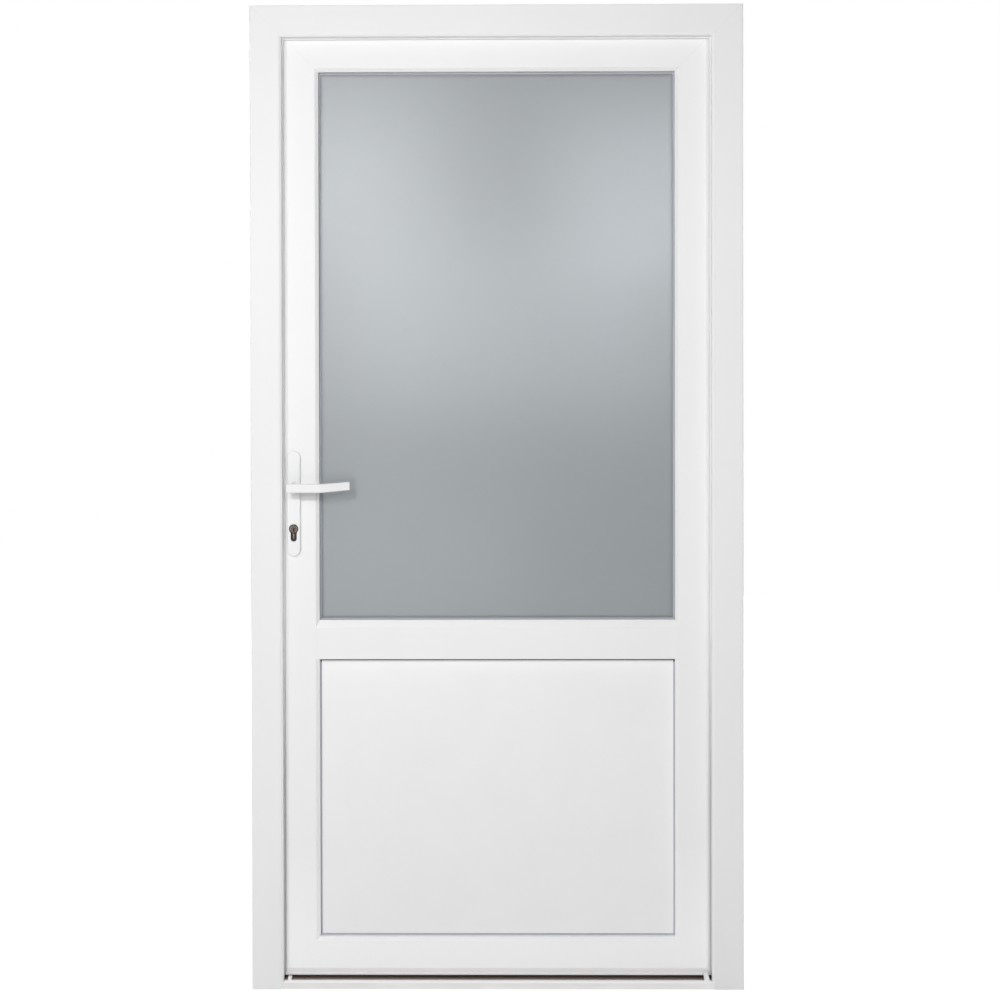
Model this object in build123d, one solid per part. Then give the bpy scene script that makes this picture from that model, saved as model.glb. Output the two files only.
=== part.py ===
from build123d import *
import os

# A white PVC service door with a frosted pane over a plain panel. It opens inward.
# X runs to the right as seen from outside, Y runs from outside to inside, Z is up.
# A depth is measured inward from the frame's outer face, and a section is drawn as
# (distance in from its own edge, depth). The origin lies under the threshold, at half
# the frame's depth.

# Whole door
DOOR_WIDTH = 1000
DOOR_HEIGHT = 2000
FRAME_DEPTH = 70
WALL = 3
WEB = 1.8

# Outer frame section
FRAME_FACE = 59
FRAME_LIP = 63.5
FRAME_LIP_DEPTH = 17
FRAME_BEVEL_DEPTH = 2.5
FRAME_REBATE = 51
FRAME_ROUNDING = 2
BACK_GROOVE = 3
BACK_GROOVE_WIDTH = 8
BACK_CHAMBER = 14
SEAT_WIDTH = 3
SEAT_DEPTH = 3
STEEL_WALL = 1.5
STEEL_CLEARANCE = 0.3

# Leaf section
LEAF_GAP = 12
LEAF_HEAD_GAP = 6
LEAF_SET_BACK = 22
LEAF_DEPTH = 70
LEAF_FACE = 66
LEAF_CHAMFER = 10
LEAF_CHAMFER_DEPTH = 4
LEAF_ROUNDING = 1.5
LEAF_LAP = 20
LAP_CLEARANCE = 5
GLAZING_SLOPE = 7
GLAZING_SLOPE_DEPTH = 5
GLAZING_LIP_DEPTH = 16
GLAZING_LIP_COVER = 20
SEAL_CLEARANCE = 0.3
LEAF_BOTTOM = 26

# Middle rail, whose upper edge slopes so that rain runs off and whose lower edge drips
RAIL_FACE = 65
RAIL_HEIGHT = 702
SILL_SLOPE = 15
DRIP_SLOPE = 2
RAIL_ROUNDING = 1.2

# Filling
EDGE_GAP = 5
OUTER_GASKET = 3
PANE = 4
SPACER_DEPTH = 16
SPACER_WIDTH = 12
INNER_GASKET = 3
GASKET_SHOWS = 4
GASKET_COVER = 8
BEAD_SHOULDER = 8
BEAD_TOP = 10
PACKER_LENGTH = 100
PACKER_SPREAD = 560

# Threshold and bottom seal
THRESHOLD_HEIGHT = 16.5
THRESHOLD_SET_BACK = 2
THRESHOLD_CHAMFER = 4
CORE_FROM = 32
CORE_WIDTH = 10
CHANNEL_FROM = 12
CHANNEL_WIDTH = 8
CHANNEL_DEPTH = 3
TONGUE = 2
TONGUE_HEIGHT = 3
TONGUE_LEVEL = 5
BLOCK_WIDTH = 7
BLOCK_HEIGHT = 6
BLOCK_DEPTH = 12
BLOCK_FROM_LIP = 8.5
TALL_BLOCK_HEIGHT = 15
TALL_BLOCK_LEAN = 3.5
CARRIER_HEIGHT = 4.5
CARRIER_DEPTH = 20
BRUSH_SET_BACK = 7
BRUSH_DEPTH = 4
BRUSH_ROOT = 3
BRUSH_CLEARANCE = 0.4

# Lock
BACKSET = 22.2
GROOVE_WIDTH = 16
GROOVE_DEPTH = 3
GROOVE_FROM = 22
FACEPLATE_END = 180
CASE_WIDTH = 14
CASE_REACH = 48
CASE_BELOW_CYLINDER = 40
CASE_ABOVE_LEVER = 55
LATCH_HEIGHT = 34
LATCH_ABOVE_LEVER = 31
BOLT_HEIGHT = 32
BOLT_ABOVE_CYLINDER = 48
BOLT_THICKNESS = 10
BOLT_LENGTH = 36
CAM_FROM_END = 230
CAM_STANDS = 4
CAM_HEAD = 2.5
CAM_RADIUS = 6
CAM_NECK = 3.5
STRIKE_THICKNESS = 2
STRIKE_MARGIN = 22

# Handle
HANDLE_LEVEL = 1022
CYLINDER_SPACING = 85
PLATE_WIDTH = 27
PLATE_HEIGHT = 214
PLATE_THICKNESS = 9
PLATE_EDGE = 1.8
PLATE_RISE = 9
COLLAR_RADIUS = 11
COLLAR_HEIGHT = 4
NECK_RADIUS = 9
NECK_CLEARANCE = 0.3
NECK_FOOT_GAP = 2
LEVER_STAND = 50
LEVER_HEIGHT = 18
LEVER_TIP_HEIGHT = 16.4
LEVER_TIP_RISE = 4
LEVER_THICKNESS = 9
LEVER_HEEL = 8
LEVER_STRAIGHT = 62
LEVER_LENGTH = 118
LEVER_BACK = 14
LEVER_EDGE = 1.4
SPINDLE = 8
SPINDLE_GRIP = 32
SPINDLE_HOLE = 8
CYLINDER_RADIUS = 8.5
CYLINDER_LOBE = 10
CYLINDER_HEIGHT = 33
CYLINDER_SET_BACK = 1
CUTOUT_CLEARANCE = 1.2
PLUG_RADIUS = 6.5
PLUG_LENGTH = 25
KEYWAY_WIDTH = 1.8
KEYWAY_HEIGHT = 8

# Hinges
HINGE_FROM_END = 250
HINGE_INSET = 19
HINGE_HEIGHT = 100
KNUCKLE_RADIUS = 10
KNUCKLE_PLAY = 0.5
KNUCKLE_CLEARANCE = 1.5
HINGE_PLATE = 3
HINGE_FRAME_WIDTH = 24
HINGE_LEAF_WIDTH = 40
HINGE_LAP = 2
HINGE_WEB = 3
PIN_RADIUS = 4
PIN_CLEARANCE = 0.3
PIN_HEAD_RADIUS = 8
PIN_HEAD = 3

# Worked out from the sizes above
HALF = DOOR_WIDTH / 2
LEAF_EDGE = FRAME_REBATE + LEAF_GAP
LEAF_HEAD_EDGE = FRAME_REBATE + LEAF_HEAD_GAP
LEAF_BACK = LEAF_SET_BACK + LEAF_DEPTH
LAP_DEPTH = FRAME_DEPTH + LAP_CLEARANCE
LIP_BACK = LEAF_SET_BACK + GLAZING_LIP_DEPTH
GLAZING_LIP = LEAF_FACE + GLAZING_SLOPE
GLAZING_BASE = GLAZING_LIP - GLAZING_LIP_COVER
RAIL_LIP = RAIL_FACE / 2 + DRIP_SLOPE
RAIL_BASE = RAIL_LIP - GLAZING_LIP_COVER
SILL_LIP = RAIL_FACE / 2 + SILL_SLOPE
SILL_BASE = SILL_LIP - GLAZING_LIP_COVER
GLASS_FRONT = LIP_BACK + OUTER_GASKET
GLASS_BACK = GLASS_FRONT + 2 * PANE + SPACER_DEPTH
BEAD_FRONT = GLASS_BACK + INNER_GASKET
GROOVE_DEPTHS = (LEAF_SET_BACK + GROOVE_FROM, LEAF_SET_BACK + GROOVE_FROM + GROOVE_WIDTH)
GROOVE_MIDDLE = sum(GROOVE_DEPTHS) / 2
HANDLE_X = -HALF + LEAF_EDGE + BACKSET
CYLINDER_LEVEL = HANDLE_LEVEL - CYLINDER_SPACING
PLATE_LEVEL = (HANDLE_LEVEL + CYLINDER_LEVEL) / 2 + PLATE_RISE
PLATE_FRONT = LEAF_SET_BACK - PLATE_THICKNESS
NECK_FOOT = LEAF_SET_BACK - NECK_FOOT_GAP
LEVER_REAR = LEAF_SET_BACK - LEVER_STAND
FACEPLATE_TOP = DOOR_HEIGHT - FACEPLATE_END
CAM_LEVELS = (FACEPLATE_END + CAM_FROM_END, FACEPLATE_TOP - CAM_FROM_END)
CASE_FOOT = CYLINDER_LEVEL - CASE_BELOW_CYLINDER
CASE_TOP = HANDLE_LEVEL + CASE_ABOVE_LEVER
LATCH_LEVEL = HANDLE_LEVEL + LATCH_ABOVE_LEVER
BOLT_LEVEL = CYLINDER_LEVEL + BOLT_ABOVE_CYLINDER
HINGE_X = HALF - HINGE_INSET
HINGE_DEPTH = FRAME_DEPTH + HINGE_PLATE + KNUCKLE_RADIUS + KNUCKLE_CLEARANCE
HINGE_LEVELS = (HINGE_FROM_END, DOOR_HEIGHT / 2, DOOR_HEIGHT - HINGE_FROM_END)
CARRIER_BOTTOM = LEAF_BOTTOM - CARRIER_HEIGHT

# Edges that the sections are measured from: left, bottom, right, top
FRAME_RECT = (-HALF, 0, HALF, DOOR_HEIGHT)
LEAF_RECT = (-HALF + LEAF_EDGE, LEAF_BOTTOM, HALF - LEAF_EDGE, DOOR_HEIGHT - LEAF_HEAD_EDGE)
GLASS_RECT = (LEAF_RECT[0], RAIL_HEIGHT + SILL_LIP - GLAZING_LIP, LEAF_RECT[2], LEAF_RECT[3])
PANEL_RECT = (LEAF_RECT[0], LEAF_RECT[1], LEAF_RECT[2], RAIL_HEIGHT - RAIL_LIP + GLAZING_LIP)
BLANK_OVERRUN = 60
REACH = 110


def at_depth(depth):
    return depth - FRAME_DEPTH / 2


def shape(*points):
    return make_face(Polyline(*points, close=True))


def oblong(u0, d0, u1, d1):
    return shape((u0, d0), (u1, d0), (u1, d1), (u0, d1))


def rounded(outline, radius, *corners):
    # The same section with these corners rounded
    places = [Vector(*corner) for corner in corners]
    near = [v for v in outline.vertices() if min((Vector(v) - p).length for p in places) < radius / 10]
    return fillet(near, radius)


def blank(section, rect, side):
    # A straight length of a section along one side of a rectangle, longer than the side
    x0, z0, x1, z1 = rect
    tall = z1 - z0 + 2 * BLANK_OVERRUN
    wide = x1 - x0 + 2 * BLANK_OVERRUN
    start, inward, along, length = {
        "left": ((x0, z0 - BLANK_OVERRUN), (1, 0, 0), (0, 0, 1), tall),
        "right": ((x1, z1 + BLANK_OVERRUN), (-1, 0, 0), (0, 0, -1), tall),
        "top": ((x0 - BLANK_OVERRUN, z1), (0, 0, -1), (1, 0, 0), wide),
        "bottom": ((x1 + BLANK_OVERRUN, z0), (0, 0, 1), (-1, 0, 0), wide),
    }[side]
    plane = Plane(origin=(start[0], at_depth(0), start[1]), x_dir=inward, z_dir=along)
    return extrude(plane * section, length)


def mitred(section, rect, side, foot=None):
    # The same length cut at 45 degrees at its corners, or square at the foot's level
    x0, z0, x1, z1 = rect
    o, r = BLANK_OVERRUN / 2, REACH
    corners = {
        "left": [(x0 - o, z0 - o), (x0 - o, z1 + o), (x0 + r, z1 - r), (x0 + r, z0 + r)],
        "right": [(x1 + o, z0 - o), (x1 + o, z1 + o), (x1 - r, z1 - r), (x1 - r, z0 + r)],
        "top": [(x0 - o, z1 + o), (x1 + o, z1 + o), (x1 - r, z1 - r), (x0 + r, z1 - r)],
        "bottom": [(x0 - o, z0 - o), (x1 + o, z0 - o), (x1 - r, z0 + r), (x0 + r, z0 + r)],
    }[side]
    if foot is not None:
        corners[0] = (corners[0][0], foot)
        corners[3] = (corners[3][0], foot)
    wedge = extrude(Plane.XZ * shape(*corners), 3 * FRAME_DEPTH, both=True)
    return blank(section, rect, side) & wedge


def slab(rect, inset, front, back):
    # A flat board inside a rectangle, between two depths
    x0, z0, x1, z1 = rect
    wide = x1 - x0 - 2 * inset
    tall = z1 - z0 - 2 * inset
    middle = ((x0 + x1) / 2, at_depth((front + back) / 2), (z0 + z1) / 2)
    return Pos(*middle) * Box(wide, back - front, tall)


def block(x0, x1, front, back, z0, z1):
    return slab((x0, z0, x1, z1), 0, front, back)


def bar(section, x0, x1):
    # A section drawn as (depth, height), drawn out along X
    plane = Plane(origin=(x0, at_depth(0), 0), x_dir=(0, 1, 0), z_dir=(1, 0, 0))
    return extrude(plane * section, x1 - x0)


def outward(x, depth, z):
    # A drawing plane that faces outdoors
    return Plane(origin=(x, at_depth(depth), z), x_dir=(1, 0, 0), z_dir=(0, -1, 0))


def indoors(thing):
    # The same thing on the leaf's other face
    middle = at_depth((LEAF_SET_BACK + LEAF_BACK) / 2)
    return mirror(thing, about=Plane(origin=(0, middle, 0), z_dir=(0, 1, 0)))


# Outer frame

def frame_outline():
    outline = shape(
        (0, 0),
        (FRAME_FACE, 0),
        (FRAME_LIP, FRAME_BEVEL_DEPTH),
        (FRAME_LIP, FRAME_LIP_DEPTH),
        (FRAME_REBATE, FRAME_LIP_DEPTH),
        (FRAME_REBATE, FRAME_DEPTH),
        (0, FRAME_DEPTH),
    )
    return rounded(outline, FRAME_ROUNDING, (0, 0), (FRAME_FACE, 0))


FRAME_SEAT = FRAME_LIP - 2.5 * SEAT_WIDTH
FRONT_CHAMBER_BACK = FRAME_LIP_DEPTH - SEAT_DEPTH - WEB
STEEL_CHAMBER = (
    BACK_GROOVE + WALL,
    FRONT_CHAMBER_BACK + WEB,
    FRAME_REBATE - WALL,
    FRAME_DEPTH - BACK_CHAMBER - WEB,
)


def frame_section():
    # Gasket seat, two grooves toward the wall, and four chambers, the largest for steel
    section = frame_outline()
    section -= oblong(FRAME_SEAT, FRAME_LIP_DEPTH - SEAT_DEPTH, FRAME_SEAT + SEAT_WIDTH, FRAME_LIP_DEPTH)
    for start in (FRAME_DEPTH / 3, FRAME_DEPTH * 0.6):
        section -= oblong(0, start, BACK_GROOVE, start + BACK_GROOVE_WIDTH)
    middle = FRAME_REBATE * 0.7
    section -= oblong(WALL, WALL, middle, FRONT_CHAMBER_BACK)
    section -= shape(
        (middle + WEB, WALL),
        (FRAME_FACE - WALL, WALL),
        (FRAME_LIP - 1.2 * WALL, FRONT_CHAMBER_BACK),
        (middle + WEB, FRONT_CHAMBER_BACK),
    )
    section -= oblong(*STEEL_CHAMBER)
    section -= oblong(WALL, STEEL_CHAMBER[3] + WEB, FRAME_REBATE - WALL, FRAME_DEPTH - WALL)
    return section


def frame_head():
    return mitred(frame_section(), FRAME_RECT, "top")


def frame_jamb_lock():
    return mitred(frame_section(), FRAME_RECT, "left", foot=0)


def frame_jamb_hinge():
    return mitred(frame_section(), FRAME_RECT, "right", foot=0)


def frame_steels():
    # A hollow steel in each jamb, cut short of the mitre
    u0, d0, u1, d1 = STEEL_CHAMBER
    c = STEEL_CLEARANCE
    section = oblong(u0 + c, d0 + c, u1 - c, d1 - c)
    c += STEEL_WALL
    section -= oblong(u0 + c, d0 + c, u1 - c, d1 - c)
    top = DOOR_HEIGHT - FRAME_LIP
    room = block(-HALF, HALF, 0, FRAME_DEPTH, FRAME_LIP / 4, top)
    return (blank(section, FRAME_RECT, "left") & room) + (blank(section, FRAME_RECT, "right") & room)


def seal_section(leaf_edge):
    # A rounded seal whose tip follows the slope of the leaf's edge
    def leaf_surface(u):
        slope = LEAF_CHAMFER_DEPTH / LEAF_CHAMFER
        return LEAF_SET_BACK + slope * max(0, leaf_edge + LEAF_CHAMFER - u) - SEAL_CLEARANCE

    nose = FRAME_LIP + SEAT_WIDTH
    heel = FRAME_LIP - SEAT_WIDTH / 2
    root = FRAME_LIP_DEPTH - SEAT_DEPTH
    return shape(
        (FRAME_SEAT, root),
        (FRAME_SEAT + SEAT_WIDTH, root),
        (FRAME_SEAT + SEAT_WIDTH, FRAME_LIP_DEPTH),
        (FRAME_LIP, FRAME_LIP_DEPTH),
        (nose - 0.6, FRAME_LIP_DEPTH + 0.8),
        (nose, FRAME_LIP_DEPTH + 2.2),
        (nose - 0.4, leaf_surface(nose)),
        (heel, leaf_surface(nose)),
        (FRAME_SEAT, FRAME_LIP_DEPTH),
    )


def frame_gasket():
    # Round the head and both jambs, ending just above the leaf's lower edge
    foot = LEAF_BOTTOM + SEAT_WIDTH
    gasket = mitred(seal_section(LEAF_HEAD_EDGE), FRAME_RECT, "top")
    for side in ("left", "right"):
        gasket += mitred(seal_section(LEAF_EDGE), FRAME_RECT, side, foot=foot)
    return gasket


# Threshold

def between_jambs(section):
    # A threshold section cut to fit round both jambs
    piece = bar(section, -HALF, HALF)
    for side in ("left", "right"):
        piece -= blank(frame_outline(), FRAME_RECT, side)
    return piece


TONGUE_TOP = TONGUE_LEVEL + TONGUE_HEIGHT
CORE_BACK = CORE_FROM + CORE_WIDTH
CORE_TOP = THRESHOLD_HEIGHT - CHANNEL_DEPTH


def threshold_outer():
    # Hollow aluminium with a chamfered nose and a water channel
    top = THRESHOLD_HEIGHT
    front = THRESHOLD_SET_BACK
    section = shape(
        (front, 0),
        (CORE_FROM, 0),
        (CORE_FROM, TONGUE_LEVEL),
        (CORE_FROM - TONGUE, TONGUE_LEVEL),
        (CORE_FROM - TONGUE, TONGUE_TOP),
        (CORE_FROM, TONGUE_TOP),
        (CORE_FROM, top),
        (front + THRESHOLD_CHAMFER, top),
        (front, top - THRESHOLD_CHAMFER),
    )
    section -= oblong(CHANNEL_FROM, top - CHANNEL_DEPTH, CHANNEL_FROM + CHANNEL_WIDTH, top)
    roof = top - CHANNEL_DEPTH - WEB
    section -= oblong(front + WALL, WEB, CORE_FROM - TONGUE - WALL, roof)
    return between_jambs(section)


def threshold_core():
    # Plastic thermal break, keyed into the metal on both sides
    section = oblong(CORE_FROM, 0, CORE_BACK, CORE_TOP)
    section += oblong(CORE_FROM - TONGUE, TONGUE_LEVEL, CORE_BACK + TONGUE, TONGUE_TOP)
    return between_jambs(section)


def threshold_inner():
    section = oblong(CORE_BACK, 0, FRAME_DEPTH, THRESHOLD_HEIGHT)
    section -= oblong(CORE_BACK, TONGUE_LEVEL, CORE_BACK + TONGUE, TONGUE_TOP)
    chamber_front = CORE_BACK + TONGUE + WALL
    section -= oblong(chamber_front, WEB, FRAME_DEPTH - WALL, THRESHOLD_HEIGHT - WEB)
    return between_jambs(section)


def threshold_blocks():
    # A low sealing block on the lock side, and a taller one that leans on the hinge side
    outer = HALF - FRAME_LIP - BLOCK_FROM_LIP
    inner = outer - BLOCK_WIDTH
    front = THRESHOLD_SET_BACK + THRESHOLD_CHAMFER
    foot = THRESHOLD_HEIGHT
    low = block(-outer, -inner, front, front + BLOCK_DEPTH, foot, foot + BLOCK_HEIGHT)
    low = chamfer(low.edges().filter_by(Axis.X).group_by(Axis.Z)[-1], BLOCK_HEIGHT / 3)
    top = foot + TALL_BLOCK_HEIGHT
    side = shape(
        (inner, foot),
        (outer + TALL_BLOCK_LEAN, foot),
        (outer, top),
        (inner - TALL_BLOCK_LEAN / 2, top),
    )
    tall = extrude(Plane(origin=(0, at_depth(front), 0), x_dir=(1, 0, 0), z_dir=(0, -1, 0)) * side, -BLOCK_DEPTH)
    return low + tall


# Leaf

def leaf_outline():
    outline = shape(
        (0, LEAF_SET_BACK + LEAF_CHAMFER_DEPTH),
        (LEAF_CHAMFER, LEAF_SET_BACK),
        (LEAF_FACE, LEAF_SET_BACK),
        (GLAZING_LIP, LEAF_SET_BACK + GLAZING_SLOPE_DEPTH),
        (GLAZING_LIP, LIP_BACK),
        (GLAZING_BASE, LIP_BACK),
        (GLAZING_BASE, LEAF_BACK),
        (-LEAF_LAP, LEAF_BACK),
        (-LEAF_LAP, LAP_DEPTH),
        (0, LAP_DEPTH),
    )
    edge = (0, LEAF_SET_BACK + LEAF_CHAMFER_DEPTH)
    return rounded(outline, LEAF_ROUNDING, edge, (LEAF_FACE, LEAF_SET_BACK), (-LEAF_LAP, LEAF_BACK))


LEAF_SEAT = -LEAF_LAP + WALL
FACE_CHAMBER_BACK = LIP_BACK - WALL
LAP_CHAMBER_FRONT = LAP_DEPTH + SEAT_DEPTH + WEB


def leaf_section():
    # Lock groove, gasket seat on the lap, and three chambers
    section = leaf_outline()
    section -= oblong(0, GROOVE_DEPTHS[0], GROOVE_DEPTH, GROOVE_DEPTHS[1])
    section -= oblong(LEAF_SEAT, LAP_DEPTH, LEAF_SEAT + SEAT_WIDTH, LAP_DEPTH + SEAT_DEPTH)
    section -= shape(
        (WALL, LEAF_SET_BACK + LEAF_CHAMFER_DEPTH + WALL),
        (LEAF_CHAMFER, LEAF_SET_BACK + WALL),
        (LEAF_FACE - WALL / 2, LEAF_SET_BACK + WALL),
        (GLAZING_LIP - 1.5 * WALL, FACE_CHAMBER_BACK),
        (WALL, FACE_CHAMBER_BACK),
    )
    inner = GLAZING_BASE - WALL
    section -= oblong(GROOVE_DEPTH + WALL, FACE_CHAMBER_BACK + WEB, inner, LAP_CHAMBER_FRONT - WEB)
    section -= oblong(-LEAF_LAP + WALL, LAP_CHAMBER_FRONT, inner, LEAF_BACK - WALL)
    return section


def case_room(grow):
    # The space that the lock case takes behind the faceplate
    edge = -HALF + LEAF_EDGE
    half = CASE_WIDTH / 2 + grow
    depths = (GROOVE_MIDDLE - half, GROOVE_MIDDLE + half)
    return block(edge + GROOVE_DEPTH, edge + CASE_REACH + grow, *depths, CASE_FOOT - grow, CASE_TOP + grow)


def euro_profile(grow=0):
    # A round barrel over a narrow round-ended lobe
    lobe = CYLINDER_LOBE / 2 + grow
    drop = CYLINDER_HEIGHT - CYLINDER_RADIUS - CYLINDER_LOBE / 2
    lobe_shape = Pos(0, -drop / 2) * Rectangle(2 * lobe, drop) + Pos(0, -drop) * Circle(lobe)
    return Circle(CYLINDER_RADIUS + grow) + lobe_shape


def cylinder_window():
    # The plain opening in the leaf round the cylinder, which the plates cover
    wide = 2 * (CYLINDER_RADIUS + CUTOUT_CLEARANCE)
    tall = CYLINDER_HEIGHT + 2 * CUTOUT_CLEARANCE
    return Pos(0, CYLINDER_RADIUS - CYLINDER_HEIGHT / 2) * Rectangle(wide, tall)


def through_leaf(sketch, level, front, back):
    return extrude(outward(HANDLE_X, back, level) * sketch, back - front)


def leaf_stile_lock():
    # Bored for the spindle and the cylinder, and open behind the faceplate for the case
    stile = mitred(leaf_section(), LEAF_RECT, "left")
    stile -= case_room(STEEL_CLEARANCE)
    stile -= through_leaf(Circle(SPINDLE_HOLE), HANDLE_LEVEL, LEAF_SET_BACK, LEAF_BACK)
    stile -= through_leaf(cylinder_window(), CYLINDER_LEVEL, LEAF_SET_BACK, LEAF_BACK)
    return stile


def leaf_stile_hinge():
    return mitred(leaf_section(), LEAF_RECT, "right")


def leaf_rail_top():
    return mitred(leaf_section(), LEAF_RECT, "top")


def leaf_rail_bottom():
    return mitred(leaf_section(), LEAF_RECT, "bottom")


def leaf_rail_middle():
    # Drawn upward from its middle line, and coped over both stiles
    half = RAIL_FACE / 2
    section = shape(
        (-half, LEAF_SET_BACK),
        (half, LEAF_SET_BACK),
        (SILL_LIP, LEAF_SET_BACK + GLAZING_SLOPE_DEPTH),
        (SILL_LIP, LIP_BACK),
        (SILL_BASE, LIP_BACK),
        (SILL_BASE, LEAF_BACK),
        (-RAIL_BASE, LEAF_BACK),
        (-RAIL_BASE, LIP_BACK),
        (-RAIL_LIP, LIP_BACK),
    )
    section = rounded(section, RAIL_ROUNDING, (-half, LEAF_SET_BACK), (half, LEAF_SET_BACK))
    face = half - WALL / 2
    section -= shape(
        (-face, LEAF_SET_BACK + WALL),
        (face, LEAF_SET_BACK + WALL),
        (SILL_LIP - 1.5 * WALL, FACE_CHAMBER_BACK),
        (1.5 * WALL - RAIL_LIP, FACE_CHAMBER_BACK),
    )
    foot, head = WALL - RAIL_BASE, SILL_BASE - WALL
    section -= oblong(foot, FACE_CHAMBER_BACK + WEB, head, LAP_CHAMBER_FRONT - WEB)
    section -= oblong(foot, LAP_CHAMBER_FRONT, head, LEAF_BACK - WALL)
    line = (LEAF_RECT[0], RAIL_HEIGHT, LEAF_RECT[2], RAIL_HEIGHT)
    rail = blank(section, line, "bottom")
    for side in ("left", "right"):
        rail -= blank(leaf_outline(), LEAF_RECT, side)
    return rail & slab(LEAF_RECT, GLAZING_BASE, 0, LEAF_BACK)


def leaf_gasket():
    # A soft lip on the lap, all round, against the frame's inner face
    tip = FRAME_DEPTH + SEAL_CLEARANCE
    root = LAP_DEPTH + SEAT_DEPTH
    section = shape(
        (LEAF_SEAT, root),
        (LEAF_SEAT + SEAT_WIDTH, root),
        (LEAF_SEAT + SEAT_WIDTH, LAP_DEPTH),
        (LEAF_SEAT + 1.5 * SEAT_WIDTH, LAP_DEPTH),
        (LEAF_SEAT + SEAT_WIDTH, tip),
        (LEAF_SEAT, tip),
        (LEAF_SEAT - SEAT_WIDTH / 2, LAP_DEPTH),
        (LEAF_SEAT, LAP_DEPTH),
    )
    ring = mitred(section, LEAF_RECT, "left")
    for side in ("top", "right", "bottom"):
        ring += mitred(section, LEAF_RECT, side)
    return ring


# Glass, panel, gaskets and beads

FILL_INSET = GLAZING_BASE + EDGE_GAP


def glass_outer():
    return slab(GLASS_RECT, FILL_INSET, GLASS_FRONT, GLASS_FRONT + PANE)


def glass_inner():
    return slab(GLASS_RECT, FILL_INSET, GLASS_BACK - PANE, GLASS_BACK)


def glass_spacer():
    depths = (GLASS_FRONT + PANE, GLASS_BACK - PANE)
    return slab(GLASS_RECT, FILL_INSET, *depths) - slab(GLASS_RECT, FILL_INSET + SPACER_WIDTH, *depths)


def lower_panel():
    return slab(PANEL_RECT, FILL_INSET, GLASS_FRONT, GLASS_BACK)


def gasket_ring(rect, front, back):
    outer = GLAZING_LIP - GASKET_COVER
    return slab(rect, outer, front, back) - slab(rect, GLAZING_LIP + GASKET_SHOWS, front, back)


def glass_gasket_outer():
    return gasket_ring(GLASS_RECT, LIP_BACK, GLASS_FRONT)


def glass_gasket_inner():
    return gasket_ring(GLASS_RECT, GLASS_BACK, BEAD_FRONT)


def panel_gasket_outer():
    return gasket_ring(PANEL_RECT, LIP_BACK, GLASS_FRONT)


def panel_gasket_inner():
    return gasket_ring(PANEL_RECT, GLASS_BACK, BEAD_FRONT)


def bead_section():
    # A hollow snap-in bead with a sloping face
    top = GLAZING_BASE + BEAD_TOP
    section = shape(
        (GLAZING_BASE, BEAD_FRONT),
        (GLAZING_LIP, BEAD_FRONT),
        (GLAZING_LIP, BEAD_FRONT + BEAD_SHOULDER),
        (top, LEAF_BACK),
        (GLAZING_BASE, LEAF_BACK),
    )
    section = rounded(section, LEAF_ROUNDING, (GLAZING_LIP, BEAD_FRONT + BEAD_SHOULDER))
    section -= shape(
        (GLAZING_BASE + WEB, BEAD_FRONT + WEB),
        (GLAZING_LIP - WEB, BEAD_FRONT + WEB),
        (GLAZING_LIP - WEB, BEAD_FRONT + BEAD_SHOULDER - WEB / 2),
        (top - WEB, LEAF_BACK - WEB),
        (GLAZING_BASE + WEB, LEAF_BACK - WEB),
    )
    return section


def beads(rect, sides):
    pair = [mitred(bead_section(), rect, side) for side in sides]
    return pair[0] + pair[1]


def glass_beads_upright():
    return beads(GLASS_RECT, ("left", "right"))


def glass_beads_level():
    return beads(GLASS_RECT, ("top", "bottom"))


def panel_beads_upright():
    return beads(PANEL_RECT, ("left", "right"))


def panel_beads_level():
    return beads(PANEL_RECT, ("top", "bottom"))


def glazing_packers():
    # Two under the glass and two under the panel
    packers = None
    for rect in (GLASS_RECT, PANEL_RECT):
        foot = rect[1] + GLAZING_BASE
        for x in (-PACKER_SPREAD / 2, PACKER_SPREAD / 2):
            half = PACKER_LENGTH / 2
            one = block(x - half, x + half, GLASS_FRONT, GLASS_BACK, foot, foot + EDGE_GAP)
            packers = one if packers is None else packers + one
    return packers


# Bottom seal

BRUSH_FRONT = LEAF_SET_BACK + LEAF_CHAMFER_DEPTH + BRUSH_SET_BACK


def bottom_seal_carrier():
    # A small white section under the leaf, with a drip lip in front
    front = LEAF_SET_BACK + LEAF_CHAMFER_DEPTH
    section = shape(
        (front - 2, CARRIER_BOTTOM),
        (front + CARRIER_DEPTH, CARRIER_BOTTOM),
        (front + CARRIER_DEPTH, LEAF_BOTTOM),
        (front, LEAF_BOTTOM),
        (front - 2, LEAF_BOTTOM - 1.5),
    )
    section -= oblong(BRUSH_FRONT, CARRIER_BOTTOM, BRUSH_FRONT + BRUSH_DEPTH, CARRIER_BOTTOM + BRUSH_ROOT)
    return bar(section, LEAF_RECT[0], LEAF_RECT[2])


def bottom_brush():
    foot = THRESHOLD_HEIGHT + BRUSH_CLEARANCE
    section = oblong(BRUSH_FRONT, foot, BRUSH_FRONT + BRUSH_DEPTH, CARRIER_BOTTOM + BRUSH_ROOT)
    return bar(section, LEAF_RECT[0], LEAF_RECT[2])


# Lock

EDGE_X = -HALF + LEAF_EDGE


def bolt_block(level, height, length):
    half = BOLT_THICKNESS / 2
    depths = (GROOVE_MIDDLE - half, GROOVE_MIDDLE + half)
    return block(EDGE_X, EDGE_X + length, *depths, level - height / 2, level + height / 2)


def sideways(sketch, x, level):
    # A drawing plane that faces the hinge side, at the middle of the lock groove
    plane = Plane(origin=(x, at_depth(GROOVE_MIDDLE), level), x_dir=(0, 1, 0), z_dir=(1, 0, 0))
    return plane * sketch


def latch_bolt():
    return bolt_block(LATCH_LEVEL, LATCH_HEIGHT, BOLT_LENGTH)


def deadbolt():
    return bolt_block(BOLT_LEVEL, BOLT_HEIGHT, BOLT_LENGTH)


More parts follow.
